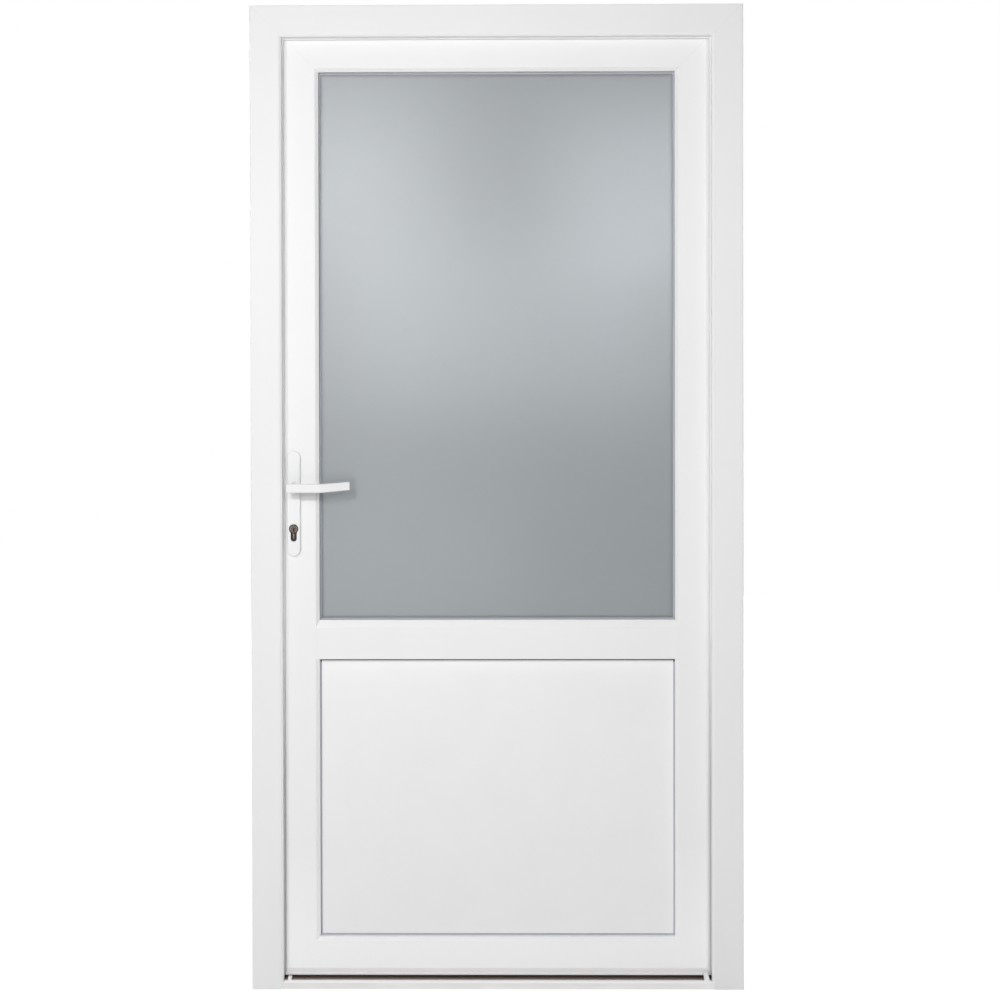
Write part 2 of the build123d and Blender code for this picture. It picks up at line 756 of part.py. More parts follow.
def lock_faceplate():
    plate = block(EDGE_X, EDGE_X + GROOVE_DEPTH, *GROOVE_DEPTHS, FACEPLATE_END, FACEPLATE_TOP)
    plate -= latch_bolt()
    plate -= deadbolt()
    for level in CAM_LEVELS:
        plate -= extrude(sideways(Circle(CAM_NECK), EDGE_X, level), GROOVE_DEPTH)
    return plate


def lock_case():
    # The steel case behind the faceplate, with ways for bolts, spindle and cylinder
    case = case_room(0)
    case -= latch_bolt()
    case -= deadbolt()
    case -= through_leaf(Circle(SPINDLE_HOLE), HANDLE_LEVEL, LEAF_SET_BACK, LEAF_BACK)
    case -= through_leaf(euro_profile(PIN_CLEARANCE), CYLINDER_LEVEL, LEAF_SET_BACK, LEAF_BACK)
    return case


def locking_cams():
    # A mushroom cam near the top and one near the bottom
    cams = None
    for level in CAM_LEVELS:
        neck = extrude(sideways(Circle(CAM_NECK), EDGE_X - CAM_STANDS, level), CAM_STANDS + GROOVE_DEPTH)
        head = extrude(sideways(Circle(CAM_RADIUS), EDGE_X - CAM_STANDS, level), CAM_HEAD)
        cams = neck + head if cams is None else cams + neck + head
    return cams


def strike(foot, top):
    x = -HALF + FRAME_REBATE
    return block(x, x + STRIKE_THICKNESS, *GROOVE_DEPTHS, foot, top)


def lock_strike():
    # A long plate on the jamb with ways for the latch and the bolt
    plate = strike(BOLT_LEVEL - BOLT_HEIGHT / 2 - STRIKE_MARGIN, LATCH_LEVEL + LATCH_HEIGHT / 2 + STRIKE_MARGIN)
    shift = Pos(-LEAF_GAP, 0, 0)
    plate -= shift * latch_bolt()
    plate -= shift * deadbolt()
    return plate


def cam_strikes():
    plates = None
    for level in CAM_LEVELS:
        one = strike(level - 2 * STRIKE_MARGIN, level + 2 * STRIKE_MARGIN)
        slot = SlotOverall(STRIKE_MARGIN + 2 * CAM_NECK, 2 * CAM_NECK, rotation=90)
        one -= extrude(sideways(slot, -HALF + FRAME_REBATE, level), STRIKE_THICKNESS)
        plates = one if plates is None else plates + one
    return plates


def lock_cylinder():
    # A euro profile cylinder just inside both plates, bored for a plug at each end
    front = PLATE_FRONT + CYLINDER_SET_BACK
    back = LEAF_BACK + PLATE_THICKNESS - CYLINDER_SET_BACK
    body = through_leaf(euro_profile(), CYLINDER_LEVEL, front, back)
    body -= through_leaf(Circle(PLUG_RADIUS), CYLINDER_LEVEL, front, front + PLUG_LENGTH)
    return body - through_leaf(Circle(PLUG_RADIUS), CYLINDER_LEVEL, back - PLUG_LENGTH, back)


def cylinder_plugs():
    # A plug at each end with its keyway
    front = PLATE_FRONT + CYLINDER_SET_BACK
    plug = through_leaf(Circle(PLUG_RADIUS), CYLINDER_LEVEL, front, front + PLUG_LENGTH)
    keyway = Pos(0, -KEYWAY_HEIGHT / 4) * Rectangle(KEYWAY_WIDTH, KEYWAY_HEIGHT)
    plug -= through_leaf(keyway, CYLINDER_LEVEL, front, front + PLUG_LENGTH * 0.8)
    return plug + indoors(plug)


# Handle

def handle_plate_outer():
    # A narrow round-ended plate with a raised collar for the lever
    outline = SlotOverall(PLATE_HEIGHT, PLATE_WIDTH, rotation=90)
    plate = extrude(outward(HANDLE_X, LEAF_SET_BACK, PLATE_LEVEL) * outline, PLATE_THICKNESS)
    plate = chamfer(plate.edges().group_by(Axis.Y)[0], PLATE_EDGE)
    collar = outward(HANDLE_X, LEAF_SET_BACK, HANDLE_LEVEL) * Circle(COLLAR_RADIUS)
    plate += extrude(collar, PLATE_THICKNESS + COLLAR_HEIGHT)
    neck_way = outward(HANDLE_X, LEAF_SET_BACK, HANDLE_LEVEL) * Circle(NECK_RADIUS + NECK_CLEARANCE)
    plate -= extrude(neck_way, PLATE_THICKNESS + COLLAR_HEIGHT)
    cutout = outward(HANDLE_X, LEAF_SET_BACK, CYLINDER_LEVEL) * euro_profile(CUTOUT_CLEARANCE)
    return plate - extrude(cutout, PLATE_THICKNESS)


def handle_plate_inner():
    return indoors(handle_plate_outer())


def lever_section(x, depth, rise, height):
    # The flat bar's outline at one place along its length
    middle = (HANDLE_X + x, at_depth(depth - LEVER_THICKNESS / 2), HANDLE_LEVEL + rise)
    plane = Plane(origin=middle, x_dir=(0, 1, 0), z_dir=(1, 0, 0))
    outline = Rectangle(LEVER_THICKNESS, height)
    return plane * chamfer(outline.vertices(), LEVER_EDGE)


def lever_bar():
    # Straight from the heel to the bend, then back toward the leaf, a little up and narrower
    heel = lever_section(-LEVER_HEEL, LEVER_REAR, 0, LEVER_HEIGHT)
    bend = lever_section(LEVER_STRAIGHT, LEVER_REAR, 0, LEVER_HEIGHT)
    tip = lever_section(LEVER_LENGTH, LEVER_REAR + LEVER_BACK, LEVER_TIP_RISE, LEVER_TIP_HEIGHT)
    return loft([heel, bend, tip], ruled=True)


def lever_outer():
    # The bar on a round neck with a socket for the spindle
    lever = lever_bar()
    neck = outward(HANDLE_X, NECK_FOOT, HANDLE_LEVEL) * Circle(NECK_RADIUS)
    lever += extrude(neck, NECK_FOOT - LEVER_REAR)
    socket = outward(HANDLE_X, NECK_FOOT, HANDLE_LEVEL) * Rectangle(SPINDLE, SPINDLE)
    return lever - extrude(socket, SPINDLE_GRIP)


def lever_inner():
    return indoors(lever_outer())


def spindle():
    front = NECK_FOOT - SPINDLE_GRIP
    back = LEAF_SET_BACK + LEAF_BACK - front
    return through_leaf(Rectangle(SPINDLE, SPINDLE), HANDLE_LEVEL, front, back)


# Hinges

def knuckle(level, low, high, bore):
    plane = Plane(origin=(HINGE_X, at_depth(HINGE_DEPTH), level + low))
    return extrude(plane * (Circle(KNUCKLE_RADIUS) - Circle(bore)), high - low)


def hinge_plan(level, low, high, *points):
    # An outline drawn as (distance in from the door's side, depth), seen from above
    outline = shape(*[(HALF - u, at_depth(d)) for u, d in points])
    return extrude(Plane.XY.offset(level + low) * outline, high - low)


def hinge_bore(level, radius):
    plane = Plane(origin=(HINGE_X, at_depth(HINGE_DEPTH), level - HINGE_HEIGHT))
    return extrude(plane * Circle(radius), 2 * HINGE_HEIGHT)


LEAF_KNUCKLE = HINGE_HEIGHT / 6


def hinge_frame_part(level):
    # A plate on the frame's inner face and two knuckles
    half = HINGE_HEIGHT / 2
    start = HINGE_INSET - HINGE_FRAME_WIDTH / 2 - HINGE_WEB
    plate_back = FRAME_DEPTH + HINGE_PLATE
    plate = hinge_plan(
        level, -half, half,
        (start, FRAME_DEPTH),
        (start + HINGE_FRAME_WIDTH, FRAME_DEPTH),
        (start + HINGE_FRAME_WIDTH, plate_back),
        (start, plate_back),
    )
    for low, high in ((-half, -LEAF_KNUCKLE), (LEAF_KNUCKLE, half)):
        plate += knuckle(level, low, high, PIN_RADIUS)
        neck = KNUCKLE_RADIUS * 0.7
        plate += hinge_plan(
            level, low, high,
            (HINGE_INSET - neck, FRAME_DEPTH),
            (HINGE_INSET + neck, FRAME_DEPTH),
            (HINGE_INSET + neck, HINGE_DEPTH),
            (HINGE_INSET - neck, HINGE_DEPTH),
        )
    return plate - hinge_bore(level, PIN_RADIUS)


def hinge_leaf_part(level):
    # A plate on the leaf's inner face and one knuckle between the frame's two
    half = HINGE_HEIGHT / 2
    near = LEAF_EDGE - LEAF_LAP + HINGE_LAP
    back = LEAF_BACK + HINGE_PLATE
    part = hinge_plan(
        level, -half, half,
        (near, LEAF_BACK),
        (near + HINGE_LEAF_WIDTH, LEAF_BACK),
        (near + HINGE_LEAF_WIDTH, back),
        (near, back),
    )
    low, high = -LEAF_KNUCKLE + KNUCKLE_PLAY, LEAF_KNUCKLE - KNUCKLE_PLAY
    part += knuckle(level, low, high, PIN_RADIUS + PIN_CLEARANCE)
    part += hinge_plan(
        level, low, high,
        (HINGE_INSET, HINGE_DEPTH),
        (HINGE_INSET + KNUCKLE_RADIUS, HINGE_DEPTH),
        (HINGE_INSET + KNUCKLE_RADIUS + HINGE_WEB, LEAF_BACK),
        (near + HINGE_WEB, LEAF_BACK),
        (near + HINGE_WEB, back),
        (HINGE_INSET + KNUCKLE_RADIUS / 2, back),
        (HINGE_INSET, HINGE_DEPTH + KNUCKLE_RADIUS),
    )
    return part - hinge_bore(level, PIN_RADIUS + PIN_CLEARANCE)


def hinge_pins():
    # A pin with a flat head on top, one for each hinge
    pins = None
    half = HINGE_HEIGHT / 2
    for level in HINGE_LEVELS:
        plane = Plane(origin=(HINGE_X, at_depth(HINGE_DEPTH), level - half))
        pin = extrude(plane * Circle(PIN_RADIUS), HINGE_HEIGHT)
        pin += extrude(plane.offset(HINGE_HEIGHT) * Circle(PIN_HEAD_RADIUS), PIN_HEAD)
        pins = pin if pins is None else pins + pin
    return pins


PIECES = [
    frame_head,
    frame_jamb_lock,
    frame_jamb_hinge,
    frame_steels,
    frame_gasket,
    threshold_outer,
    threshold_core,
    threshold_inner,
    threshold_blocks,
    leaf_stile_lock,
    leaf_stile_hinge,
    leaf_rail_top,
    leaf_rail_middle,
    leaf_rail_bottom,
    leaf_gasket,
    glass_outer,
    glass_inner,
    glass_spacer,
    lower_panel,
    glass_gasket_outer,
    glass_gasket_inner,
    panel_gasket_outer,
    panel_gasket_inner,
    glass_beads_upright,
    glass_beads_level,
    panel_beads_upright,
    panel_beads_level,
    glazing_packers,
    bottom_seal_carrier,
    bottom_brush,
    latch_bolt,
    deadbolt,
    lock_faceplate,
    lock_case,
    locking_cams,
    lock_strike,
    cam_strikes,
    lock_cylinder,
    cylinder_plugs,
    handle_plate_outer,
    handle_plate_inner,
    lever_outer,
    lever_inner,
    spindle,
    hinge_pins,
]

os.makedirs("parts", exist_ok=True)
for piece in PIECES:
    export_step(piece(), f"parts/{piece.__name__}.step")
for name, level in zip(("lower", "middle", "upper"), HINGE_LEVELS):
    export_step(hinge_frame_part(level), f"parts/hinge_frame_{name}.step")
    export_step(hinge_leaf_part(level), f"parts/hinge_leaf_{name}.step")
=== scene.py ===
import math
import random

import bmesh
import bpy
from mathutils import Euler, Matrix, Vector


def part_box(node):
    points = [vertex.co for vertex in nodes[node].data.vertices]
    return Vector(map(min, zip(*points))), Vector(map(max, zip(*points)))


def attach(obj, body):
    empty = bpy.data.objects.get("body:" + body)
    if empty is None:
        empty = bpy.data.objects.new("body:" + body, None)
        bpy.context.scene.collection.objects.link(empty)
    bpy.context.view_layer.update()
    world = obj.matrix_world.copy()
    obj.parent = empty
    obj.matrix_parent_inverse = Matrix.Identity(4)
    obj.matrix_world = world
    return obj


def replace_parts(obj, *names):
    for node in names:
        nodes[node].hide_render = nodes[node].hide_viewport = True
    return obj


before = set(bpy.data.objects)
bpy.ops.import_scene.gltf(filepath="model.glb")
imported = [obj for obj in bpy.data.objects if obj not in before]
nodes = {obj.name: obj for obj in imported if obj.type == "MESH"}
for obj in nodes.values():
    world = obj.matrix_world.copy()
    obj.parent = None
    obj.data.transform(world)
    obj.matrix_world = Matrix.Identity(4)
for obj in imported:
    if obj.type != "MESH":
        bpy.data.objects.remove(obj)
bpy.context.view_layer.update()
scene = bpy.context.scene
millimetre = 0.001  # small pieces are drawn in millimetres, places on the door are in metres
print("door loaded:", len(nodes), "nodes")


# Shader maths: a wire is a socket that can be used in plain sums
class Wire:
    def __init__(self, finish, socket):
        self.finish = finish
        self.socket = socket

    def sum(self, operation, *values):
        return self.finish.add("ShaderNodeMath", {"operation": operation}, values)

    def __add__(self, other):
        return self.sum("ADD", self, other)

    def __radd__(self, other):
        return self.sum("ADD", other, self)

    def __sub__(self, other):
        return self.sum("SUBTRACT", self, other)

    def __rsub__(self, other):
        return self.sum("SUBTRACT", other, self)

    def __mul__(self, other):
        return self.sum("MULTIPLY", self, other)

    def __rmul__(self, other):
        return self.sum("MULTIPLY", other, self)

    def __abs__(self):
        return self.sum("ABSOLUTE", self)

    def __lt__(self, other):
        return self.sum("LESS_THAN", self, other)

    def __gt__(self, other):
        return self.sum("GREATER_THAN", self, other)


class Finish:
    # a material or a world, its one shader and the nodes that feed it
    def __init__(self, name, owner=None, shader="Principled BSDF", **constants):
        self.owner = owner or bpy.data.materials.new(name)
        self.owner.use_nodes = True
        self.tree = self.owner.node_tree
        self.shader = self.tree.nodes[shader]
        for socket, value in constants.items():
            self.shader.inputs[socket.replace("_", " ")].default_value = value

    def add(self, kind, settings=None, values=(), output=0):
        node = self.tree.nodes.new(kind)
        for name, value in (settings or {}).items():
            setattr(node, name, value)
        pairs = values.items() if isinstance(values, dict) else enumerate(values)
        for key, value in pairs:
            if isinstance(value, Wire):
                self.tree.links.new(value.socket, node.inputs[key])
            else:
                node.inputs[key].default_value = value
        return Wire(self, node.outputs[output])

    def feed(self, **wires):
        for socket, wire in wires.items():
            self.tree.links.new(wire.socket, self.shader.inputs[socket.replace("_", " ")])

    def place(self):
        return self.add("ShaderNodeTexCoord", output="Object")

    def axis(self, letter):
        return self.add("ShaderNodeSeparateXYZ", values=[self.place()], output=letter)

    def rays(self, *kinds):
        return [self.add("ShaderNodeLightPath", output="Is " + kind + " Ray") for kind in kinds]

    def noise(self, scales, detail=2.0):
        stretched = self.add("ShaderNodeMapping", values={"Vector": self.place(), "Scale": scales})
        return self.add("ShaderNodeTexNoise", values={"Vector": stretched, "Scale": 1.0, "Detail": detail})

    def between(self, wire, low, high, start=0.0, end=1.0):
        return self.add("ShaderNodeMapRange", values=[wire, start, end, low, high])

    def blend(self, factor, first, second):
        return self.add("ShaderNodeMix", {"data_type": "RGBA"}, {0: factor, 6: first, 7: second}, output=2)

    def bump(self, height, depth, strength):
        return self.add("ShaderNodeBump", values={"Strength": strength, "Distance": depth, "Height": height})


def grey(level, warm=0.0):
    return (level + warm, level, level - warm, 1)


def coat(finish, *names):
    for name in names:
        slots = nodes[name].data.materials
        if len(slots) == 0:
            slots.append(finish.owner)
        for i in range(len(slots)):
            slots[i] = finish.owner


# White profiles with faint drawing lines and welded seams
pvc = {
    "tone": 0.865,
    "frameTone": 0.85,
    "paintedFootLight": 0.95,  # painted light: the leaf's tone is raised near the ground
    "paintedFootLightRange": (0.08, 0.3),
    "clouds": (5.0, 5.0, 2.5),
    "cloudRange": (0.35, 0.65),
    "cloudDrop": 0.012,
    "lines": (900.0, 1.5),  # across and along the profile
    "lineDepth": 0.00003,
    "lineStrength": 0.35,
    "roughness": (0.43, 0.51),
    "seamColour": (0.66, 0.66, 0.67, 1),
    "seamShare": 0.22,
    "seamWidth": 0.0007,
    "seamDepth": 0.00015,
    "seamStrength": 0.5,
    "frameSeam": 0.1,  # how far up or down a mitre can run
    "leafSeam": 0.12,
    "beadSeam": 0.03,
    "seamsAbove": 0.01,  # rings that start lower show none at their foot
    "railCope": 0.013,  # how far the middle rail's ends reach over the stiles
    "copeGap": 0.0002,
    "beyond": 2.0,  # a joint out here never shows
}


def profileFinish(name, level, box, reach=pvc["leafSeam"], joint=None, tone=pvc["tone"], foot=None):
    # level says whether the length runs along X; box is the rectangle that its mitres start from
    # joint puts a butt joint at that distance from the middle instead of the mitres
    made = Finish(name)
    x, z = made.axis("X"), made.axis("Z")
    across, along = pvc["lines"]
    lines = made.noise((along, across, across) if level else (across, across, along), detail=1.0)
    clouds = made.between(made.noise(pvc["clouds"]), 0.0, 1.0, *pvc["cloudRange"])
    low, high = box
    width = pvc["seamWidth"]
    if joint:
        seam = (abs(x) > joint - width) * (abs(x) < joint + pvc["copeGap"])
    else:
        fromSide = (high.x - low.x) / 2 - abs(x - (high.x + low.x) / 2)
        fromTop = high.z - z
        seam = (abs(fromSide - fromTop) < width) * (fromTop < reach)
        if low.z > pvc["seamsAbove"]:
            fromBottom = z - low.z
            seam = seam + (abs(fromSide - fromBottom) < width) * (fromBottom < reach)
    white = made.blend(clouds, grey(tone - pvc["cloudDrop"]), grey(tone))
    # foot is a lighter tone near the ground, painted light
    if foot:
        white = made.blend(made.between(z, 1.0, 0.0, *pvc["paintedFootLightRange"]), white, grey(foot))
    groove = made.add("ShaderNodeBump", {"invert": True}, {
        "Strength": pvc["seamStrength"], "Distance": pvc["seamDepth"], "Height": seam,
        "Normal": made.bump(lines, pvc["lineDepth"], pvc["lineStrength"])})
    made.feed(
        Base_Color=made.blend(seam * pvc["seamShare"], white, pvc["seamColour"]),
        Roughness=made.between(lines, *pvc["roughness"]),
        Normal=groove,
    )
    return made


def boxOf(*names):
    corners = [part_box(name) for name in names]
    low = Vector([min(c[0][i] for c in corners) for i in range(3)])
    high = Vector([max(c[1][i] for c in corners) for i in range(3)])
    return low, high


frameBox = boxOf("frame_head", "frame_jamb_lock", "frame_jamb_hinge")
leafBox = boxOf("leaf_stile_lock", "leaf_stile_hinge", "leaf_rail_top", "leaf_rail_bottom")
railEnd = boxOf("leaf_rail_middle")[1].x
coat(profileFinish("framePvcUpright", False, frameBox, pvc["frameSeam"], tone=pvc["frameTone"]),
     "frame_jamb_lock", "frame_jamb_hinge")
coat(profileFinish("framePvcLevel", True, frameBox, pvc["frameSeam"], tone=pvc["frameTone"]), "frame_head")
coat(profileFinish("leafPvcUpright", False, leafBox, foot=pvc["paintedFootLight"]),
     "leaf_stile_lock", "leaf_stile_hinge")
coat(profileFinish("leafPvcLevel", True, leafBox), "leaf_rail_top")
coat(profileFinish("leafPvcFoot", True, leafBox, foot=pvc["paintedFootLight"]), "leaf_rail_bottom")
coat(profileFinish("railPvc", True, leafBox, joint=railEnd - pvc["railCope"]), "leaf_rail_middle")
for filling in ("glass", "panel"):
    beads = boxOf(filling + "_beads_upright", filling + "_beads_level")
    for way, level in (("Upright", False), ("Level", True)):
        coat(profileFinish(filling + "BeadPvc" + way, level, beads, pvc["beadSeam"]),
             filling + "_beads_" + way.lower())
coat(profileFinish("sealCarrierPvc", True, leafBox, joint=pvc["beyond"]),
     "bottom_seal_carrier", "threshold_blocks")
print("white profiles coated")

# Plain panel with a smooth laminated skin
panel = {
    "colour": (0.868, 0.868, 0.87, 1),
    "shade": (0.853, 0.854, 0.857, 1),
    "ripple": 9.0,
    "rippleRange": (0.35, 0.65),
    "rippleHeight": 3.0,
    "grain": 700.0,
    "grainHeight": 0.06,
    "depth": 0.0004,
    "strength": 0.5,
    "roughness": (0.27, 0.34),
}
panelSkin = Finish("panelSkin")
ripple = panelSkin.noise((panel["ripple"],) * 3, detail=3.0)
grain = panelSkin.noise((panel["grain"],) * 3, detail=1.0)
shade = panelSkin.between(ripple, 0.0, 1.0, *panel["rippleRange"])
panelSkin.feed(
    Base_Color=panelSkin.blend(shade, panel["colour"], panel["shade"]),
    Roughness=panelSkin.between(grain, *panel["roughness"]),
    Normal=panelSkin.bump(ripple * panel["rippleHeight"] + grain * panel["grainHeight"],
                          panel["depth"], panel["strength"]),
)
coat(panelSkin, "lower_panel")

# Powder coat on the handle and the hinges
coating = {
    "colour": (0.862, 0.867, 0.88, 1),
    "shade": grey(0.85),
    "roughness": (0.21, 0.29),
    "peel": 420.0,
    "peelDepth": 0.00012,
    "peelStrength": 0.4,
}
powder = Finish("powderCoat")
peel = powder.noise((coating["peel"],) * 3, detail=1.0)
powder.feed(
    Base_Color=powder.blend(peel, coating["colour"], coating["shade"]),
    Roughness=powder.between(peel, *coating["roughness"]),
    Normal=powder.bump(peel, coating["peelDepth"], coating["peelStrength"]),
)
coat(powder, "handle_plate_outer", "handle_plate_inner", "lever_outer", "lever_inner")
coat(powder, *[name for name in nodes if name.startswith("hinge_frame") or name.startswith("hinge_leaf")])

# Galvanised steel with a spangle
galvanised = {
    "colour": grey(0.62),
    "dark": (0.47, 0.485, 0.5, 1),
    "roughness": (0.28, 0.5),
    "spangle": 240.0,
    "spangleShare": 0.6,
    "spangleDepth": 0.0001,
    "spangleStrength": 0.25,
    "dull": 30.0,
    "dullShare": 0.4,
}
zinc = Finish("galvanisedSteel", Metallic=1.0)
spangle = zinc.add("ShaderNodeTexVoronoi", {"feature": "F1"}, {
    "Vector": zinc.place(), "Scale": galvanised["spangle"]}, output="Distance")
dull = zinc.noise((galvanised["dull"],) * 3, detail=4.0)
zinc.feed(
    Base_Color=zinc.blend(spangle * galvanised["spangleShare"] + dull * galvanised["dullShare"],
                          galvanised["dark"], galvanised["colour"]),
    Roughness=zinc.between(dull, *galvanised["roughness"]),
    Normal=zinc.bump(spangle, galvanised["spangleDepth"], galvanised["spangleStrength"]),
)
coat(zinc, "frame_steels", "lock_faceplate", "lock_case", "latch_bolt", "deadbolt", "locking_cams",
     "lock_strike", "cam_strikes", "spindle", "hinge_pins")

# Drawn and turned metals: lines along the drawing, broad stains and, on the threshold, a front arris
# lightened by wear and a painted highlight, with painted shade behind it
metals = {
    "aluminium": {"colour": grey(0.6, 0.006), "dark": grey(0.54, 0.006), "roughness": (0.34, 0.52)},
    "nickel": {"colour": (0.09, 0.076, 0.066, 1), "dark": (0.035, 0.03, 0.026, 1),
               "roughness": (0.2, 0.38)},
    # a lighter metal for the cylinder's trims, a painted highlight for its glints
    "trim": {"colour": (0.3, 0.27, 0.24, 1), "dark": (0.12, 0.1, 0.085, 1), "roughness": (0.17, 0.35)},
    "darkNickel": {"colour": (0.035, 0.03, 0.027, 1), "dark": (0.02, 0.017, 0.016, 1),
                   "roughness": (0.34, 0.52)},
}
metalMarks = {
    "drawn": (3.0, 900.0, 900.0),
    "turned": (160.0, 1500.0, 160.0),
    "depth": 0.00006,
    "strength": 0.4,
    "stains": (14.0, 40.0, 40.0),
    "stainRange": (0.3, 0.75),
    "wearAndHighlight": grey(0.7),  # the threshold's front arris, lighter as wear and as a painted highlight
    "paintedShade": (0.33, 0.27, 0.25, 1),  # painted shade on its top behind the arris, and in the channel
    "arrisHeight": 0.0042,
    "arrisDepth": 0.0085,
    "channelDepth": 0.003,
}


def drawnMetal(name, metal, scales, edge=None):
    # edge is the height and the depth at which the front arris starts and ends; the arris is lighter as wear
    # and as a painted highlight, and the top behind it gets painted shade
    facts = metals[metal]
    made = Finish(name, Metallic=1.0)
    drawn = made.noise(scales, detail=3.0)
    stains = made.noise(metalMarks["stains"], detail=4.0)
    stained = made.between(stains, 0.0, 1.0, *metalMarks["stainRange"])
    tone = made.blend(stained, facts["colour"], facts["dark"])
    if edge:
        y, z = made.axis("Y"), made.axis("Z")
        # the front arris is lighter, as wear and as a painted highlight
        tone = made.blend(z > edge[0], tone, metalMarks["wearAndHighlight"])
        # painted shade on the top behind the arris and in the channel
        behind = (z > edge[0] - metalMarks["channelDepth"]) * (y > edge[1])
        tone = made.blend(behind, tone, metalMarks["paintedShade"])
    made.feed(
        Base_Color=tone,
        Roughness=made.between(drawn, *facts["roughness"]),
        Normal=made.bump(drawn, metalMarks["depth"], metalMarks["strength"]),
    )
    return made


coat(drawnMetal("millAluminium", "aluminium", metalMarks["drawn"]), "threshold_inner", "glass_spacer")
sillLow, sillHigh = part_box("threshold_outer")
arris = (sillHigh[2] - metalMarks["arrisHeight"], sillLow[1] + metalMarks["arrisDepth"])
coat(drawnMetal("wornAndPaintedLightAluminium", "aluminium", metalMarks["drawn"], arris), "threshold_outer")
coat(drawnMetal("satinNickel", "nickel", metalMarks["turned"]), "cylinder_plugs")
glintNickel = drawnMetal("glintNickel", "trim", metalMarks["turned"])
coat(drawnMetal("darkNickel", "darkNickel", metalMarks["turned"]), "lock_cylinder")

# Seals and plastics
softs = {
    "blackSeal": {"low": grey(0.012), "high": grey(0.03, 0.001), "roughness": 0.75, "grain": 900.0},
    "greySeal": {"low": (0.4, 0.42, 0.47, 1), "high": (0.48, 0.5, 0.55, 1),
                 "roughness": 0.55, "grain": 500.0},
    "paleSeal": {"low": (0.76, 0.76, 0.77, 1), "high": (0.82, 0.82, 0.83, 1),
                 "roughness": 0.55, "grain": 500.0},
    "blackPlastic": {"low": grey(0.02), "high": grey(0.035), "roughness": 0.5, "grain": 300.0},
    "greyPlastic": {"low": (0.32, 0.34, 0.38, 1), "high": (0.4, 0.42, 0.46, 1),
                    "roughness": 0.5, "grain": 300.0},
    "whitePlastic": {"low": grey(0.8), "high": grey(0.85), "roughness": 0.4, "grain": 300.0},
}
softMarks = {
    # near black, a painted shadow for the top run of the panel's seal
    "dirt": (0.025, 0.023, 0.021, 1),
    "dust": (0.36, 0.3, 0.28, 1),
    "shade": (0.46, 0.46, 0.47, 1),
    "patches": 12.0,
    "spread": 0.08,  # how far the roughness strays
    "depth": 0.0001,
    "strength": 0.3,
    "brushDust": (0.0226, 0.0206),  # dust grows from the first height to the second
    "sealShade": (0.75, 0.4),
    "panelDirt": (0.0136, 0.0134),  # painted shadow under the middle rail: grows from the first height to the second, both below the top of the panel's seal
}


def softFinish(name, soilAndShade=None, start=0.0, end=0.0):
    # soilAndShade names a second tone that grows from none at the height start to full at the height end; it
    # is real dust on the brush and painted shade on the seals
    facts = softs[name]
    made = Finish(name + (soilAndShade or "").capitalize())
    grain = made.noise((facts["grain"],) * 3)
    patches = made.noise((softMarks["patches"],) * 3, detail=3.0)
    tone = made.blend(patches, facts["low"], facts["high"])
    if soilAndShade:
        tone = made.blend(made.between(made.axis("Z"), 0.0, 1.0, start, end), tone, softMarks[soilAndShade])
    spread = softMarks["spread"]
    made.feed(
        Base_Color=tone,
        Roughness=made.between(grain, facts["roughness"] - spread, facts["roughness"] + spread),
        Normal=made.bump(grain, softMarks["depth"], softMarks["strength"]),
    )
    return made


greySeal = softFinish("greySeal")
paleSeal = softFinish("paleSeal", "shade", *softMarks["sealShade"])
dustyBrush = softFinish("blackSeal", "dust", *softMarks["brushDust"])
coat(softFinish("blackPlastic"), "threshold_core")
coat(softFinish("greyPlastic"), "glazing_packers")

# Satin pane outside, clearer pane inside
glass = {
    "satin": (0.35, 0.376, 0.395, 1),
    "pale": (0.366, 0.392, 0.411, 1),
    "satinRoughness": (0.32, 0.4),
    "satinShare": 0.6,  # how much of the satin pane lets light through
    "index": 1.5,
    "cloud": (3.0, 3.0, 2.0),
    "frost": 1400.0,
    "frostDepth": 0.00003,
    "frostStrength": 0.3,
    "clear": (0.885, 0.895, 0.9, 1),
    "clearRoughness": (0.0, 0.12),
    "smear": 6.0,
}
satin = Finish("satinGlass", Transmission_Weight=glass["satinShare"], IOR=glass["index"])
frost = satin.noise((glass["frost"],) * 3, detail=1.0)
satin.feed(
    Base_Color=satin.blend(satin.noise(glass["cloud"]), glass["satin"], glass["pale"]),
    Roughness=satin.between(frost, *glass["satinRoughness"]),
    Normal=satin.bump(frost, glass["frostDepth"], glass["frostStrength"]),
)
coat(satin, "glass_outer")
clear = Finish("clearGlass", Base_Color=glass["clear"], Transmission_Weight=1.0, IOR=glass["index"])
clear.feed(Roughness=clear.between(clear.noise((glass["smear"],) * 3, detail=3.0), *glass["clearRoughness"]))
coat(clear, "glass_inner")
print("metals, seals and glass coated")

# Small pieces that the solids leave to this script; edges up to these angles are shaded round
roundUpTo = {
    "seal": 50.0, "bristle": 80.0, "screw": 35.0, "cap": 30.0, "plate": 30.0, "rim": 60.0, "trim": 35.0,
}


def newPiece(name, shape, finish, body, kind):
    mesh = bpy.data.meshes.new(name)
    bmesh.ops.recalc_face_normals(shape, faces=shape.faces)
    widest = math.radians(roundUpTo[kind])
    for edge in shape.edges:
        edge.smooth = len(edge.link_faces) == 2 and edge.calc_face_angle() < widest
    for face in shape.faces:
        face.smooth = not face.tag
    shape.to_mesh(mesh)
    shape.free()
    mesh.materials.append(finish.owner)
    piece = bpy.data.objects.new(name, mesh)
    scene.collection.objects.link(piece)
    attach(piece, body)
    return piece


def joinLoops(shape, loops):
    # skin a row of vertex loops that all have the same count
    for first, second in zip(loops, loops[1:]):
        for i in range(len(first)):
            j = (i + 1) % len(first)
            shape.faces.new((first[i], first[j], second[j], second[i]))


def closeEnds(shape, loops):
    shape.faces.new(list(reversed(loops[0])))
    shape.faces.new(loops[-1])


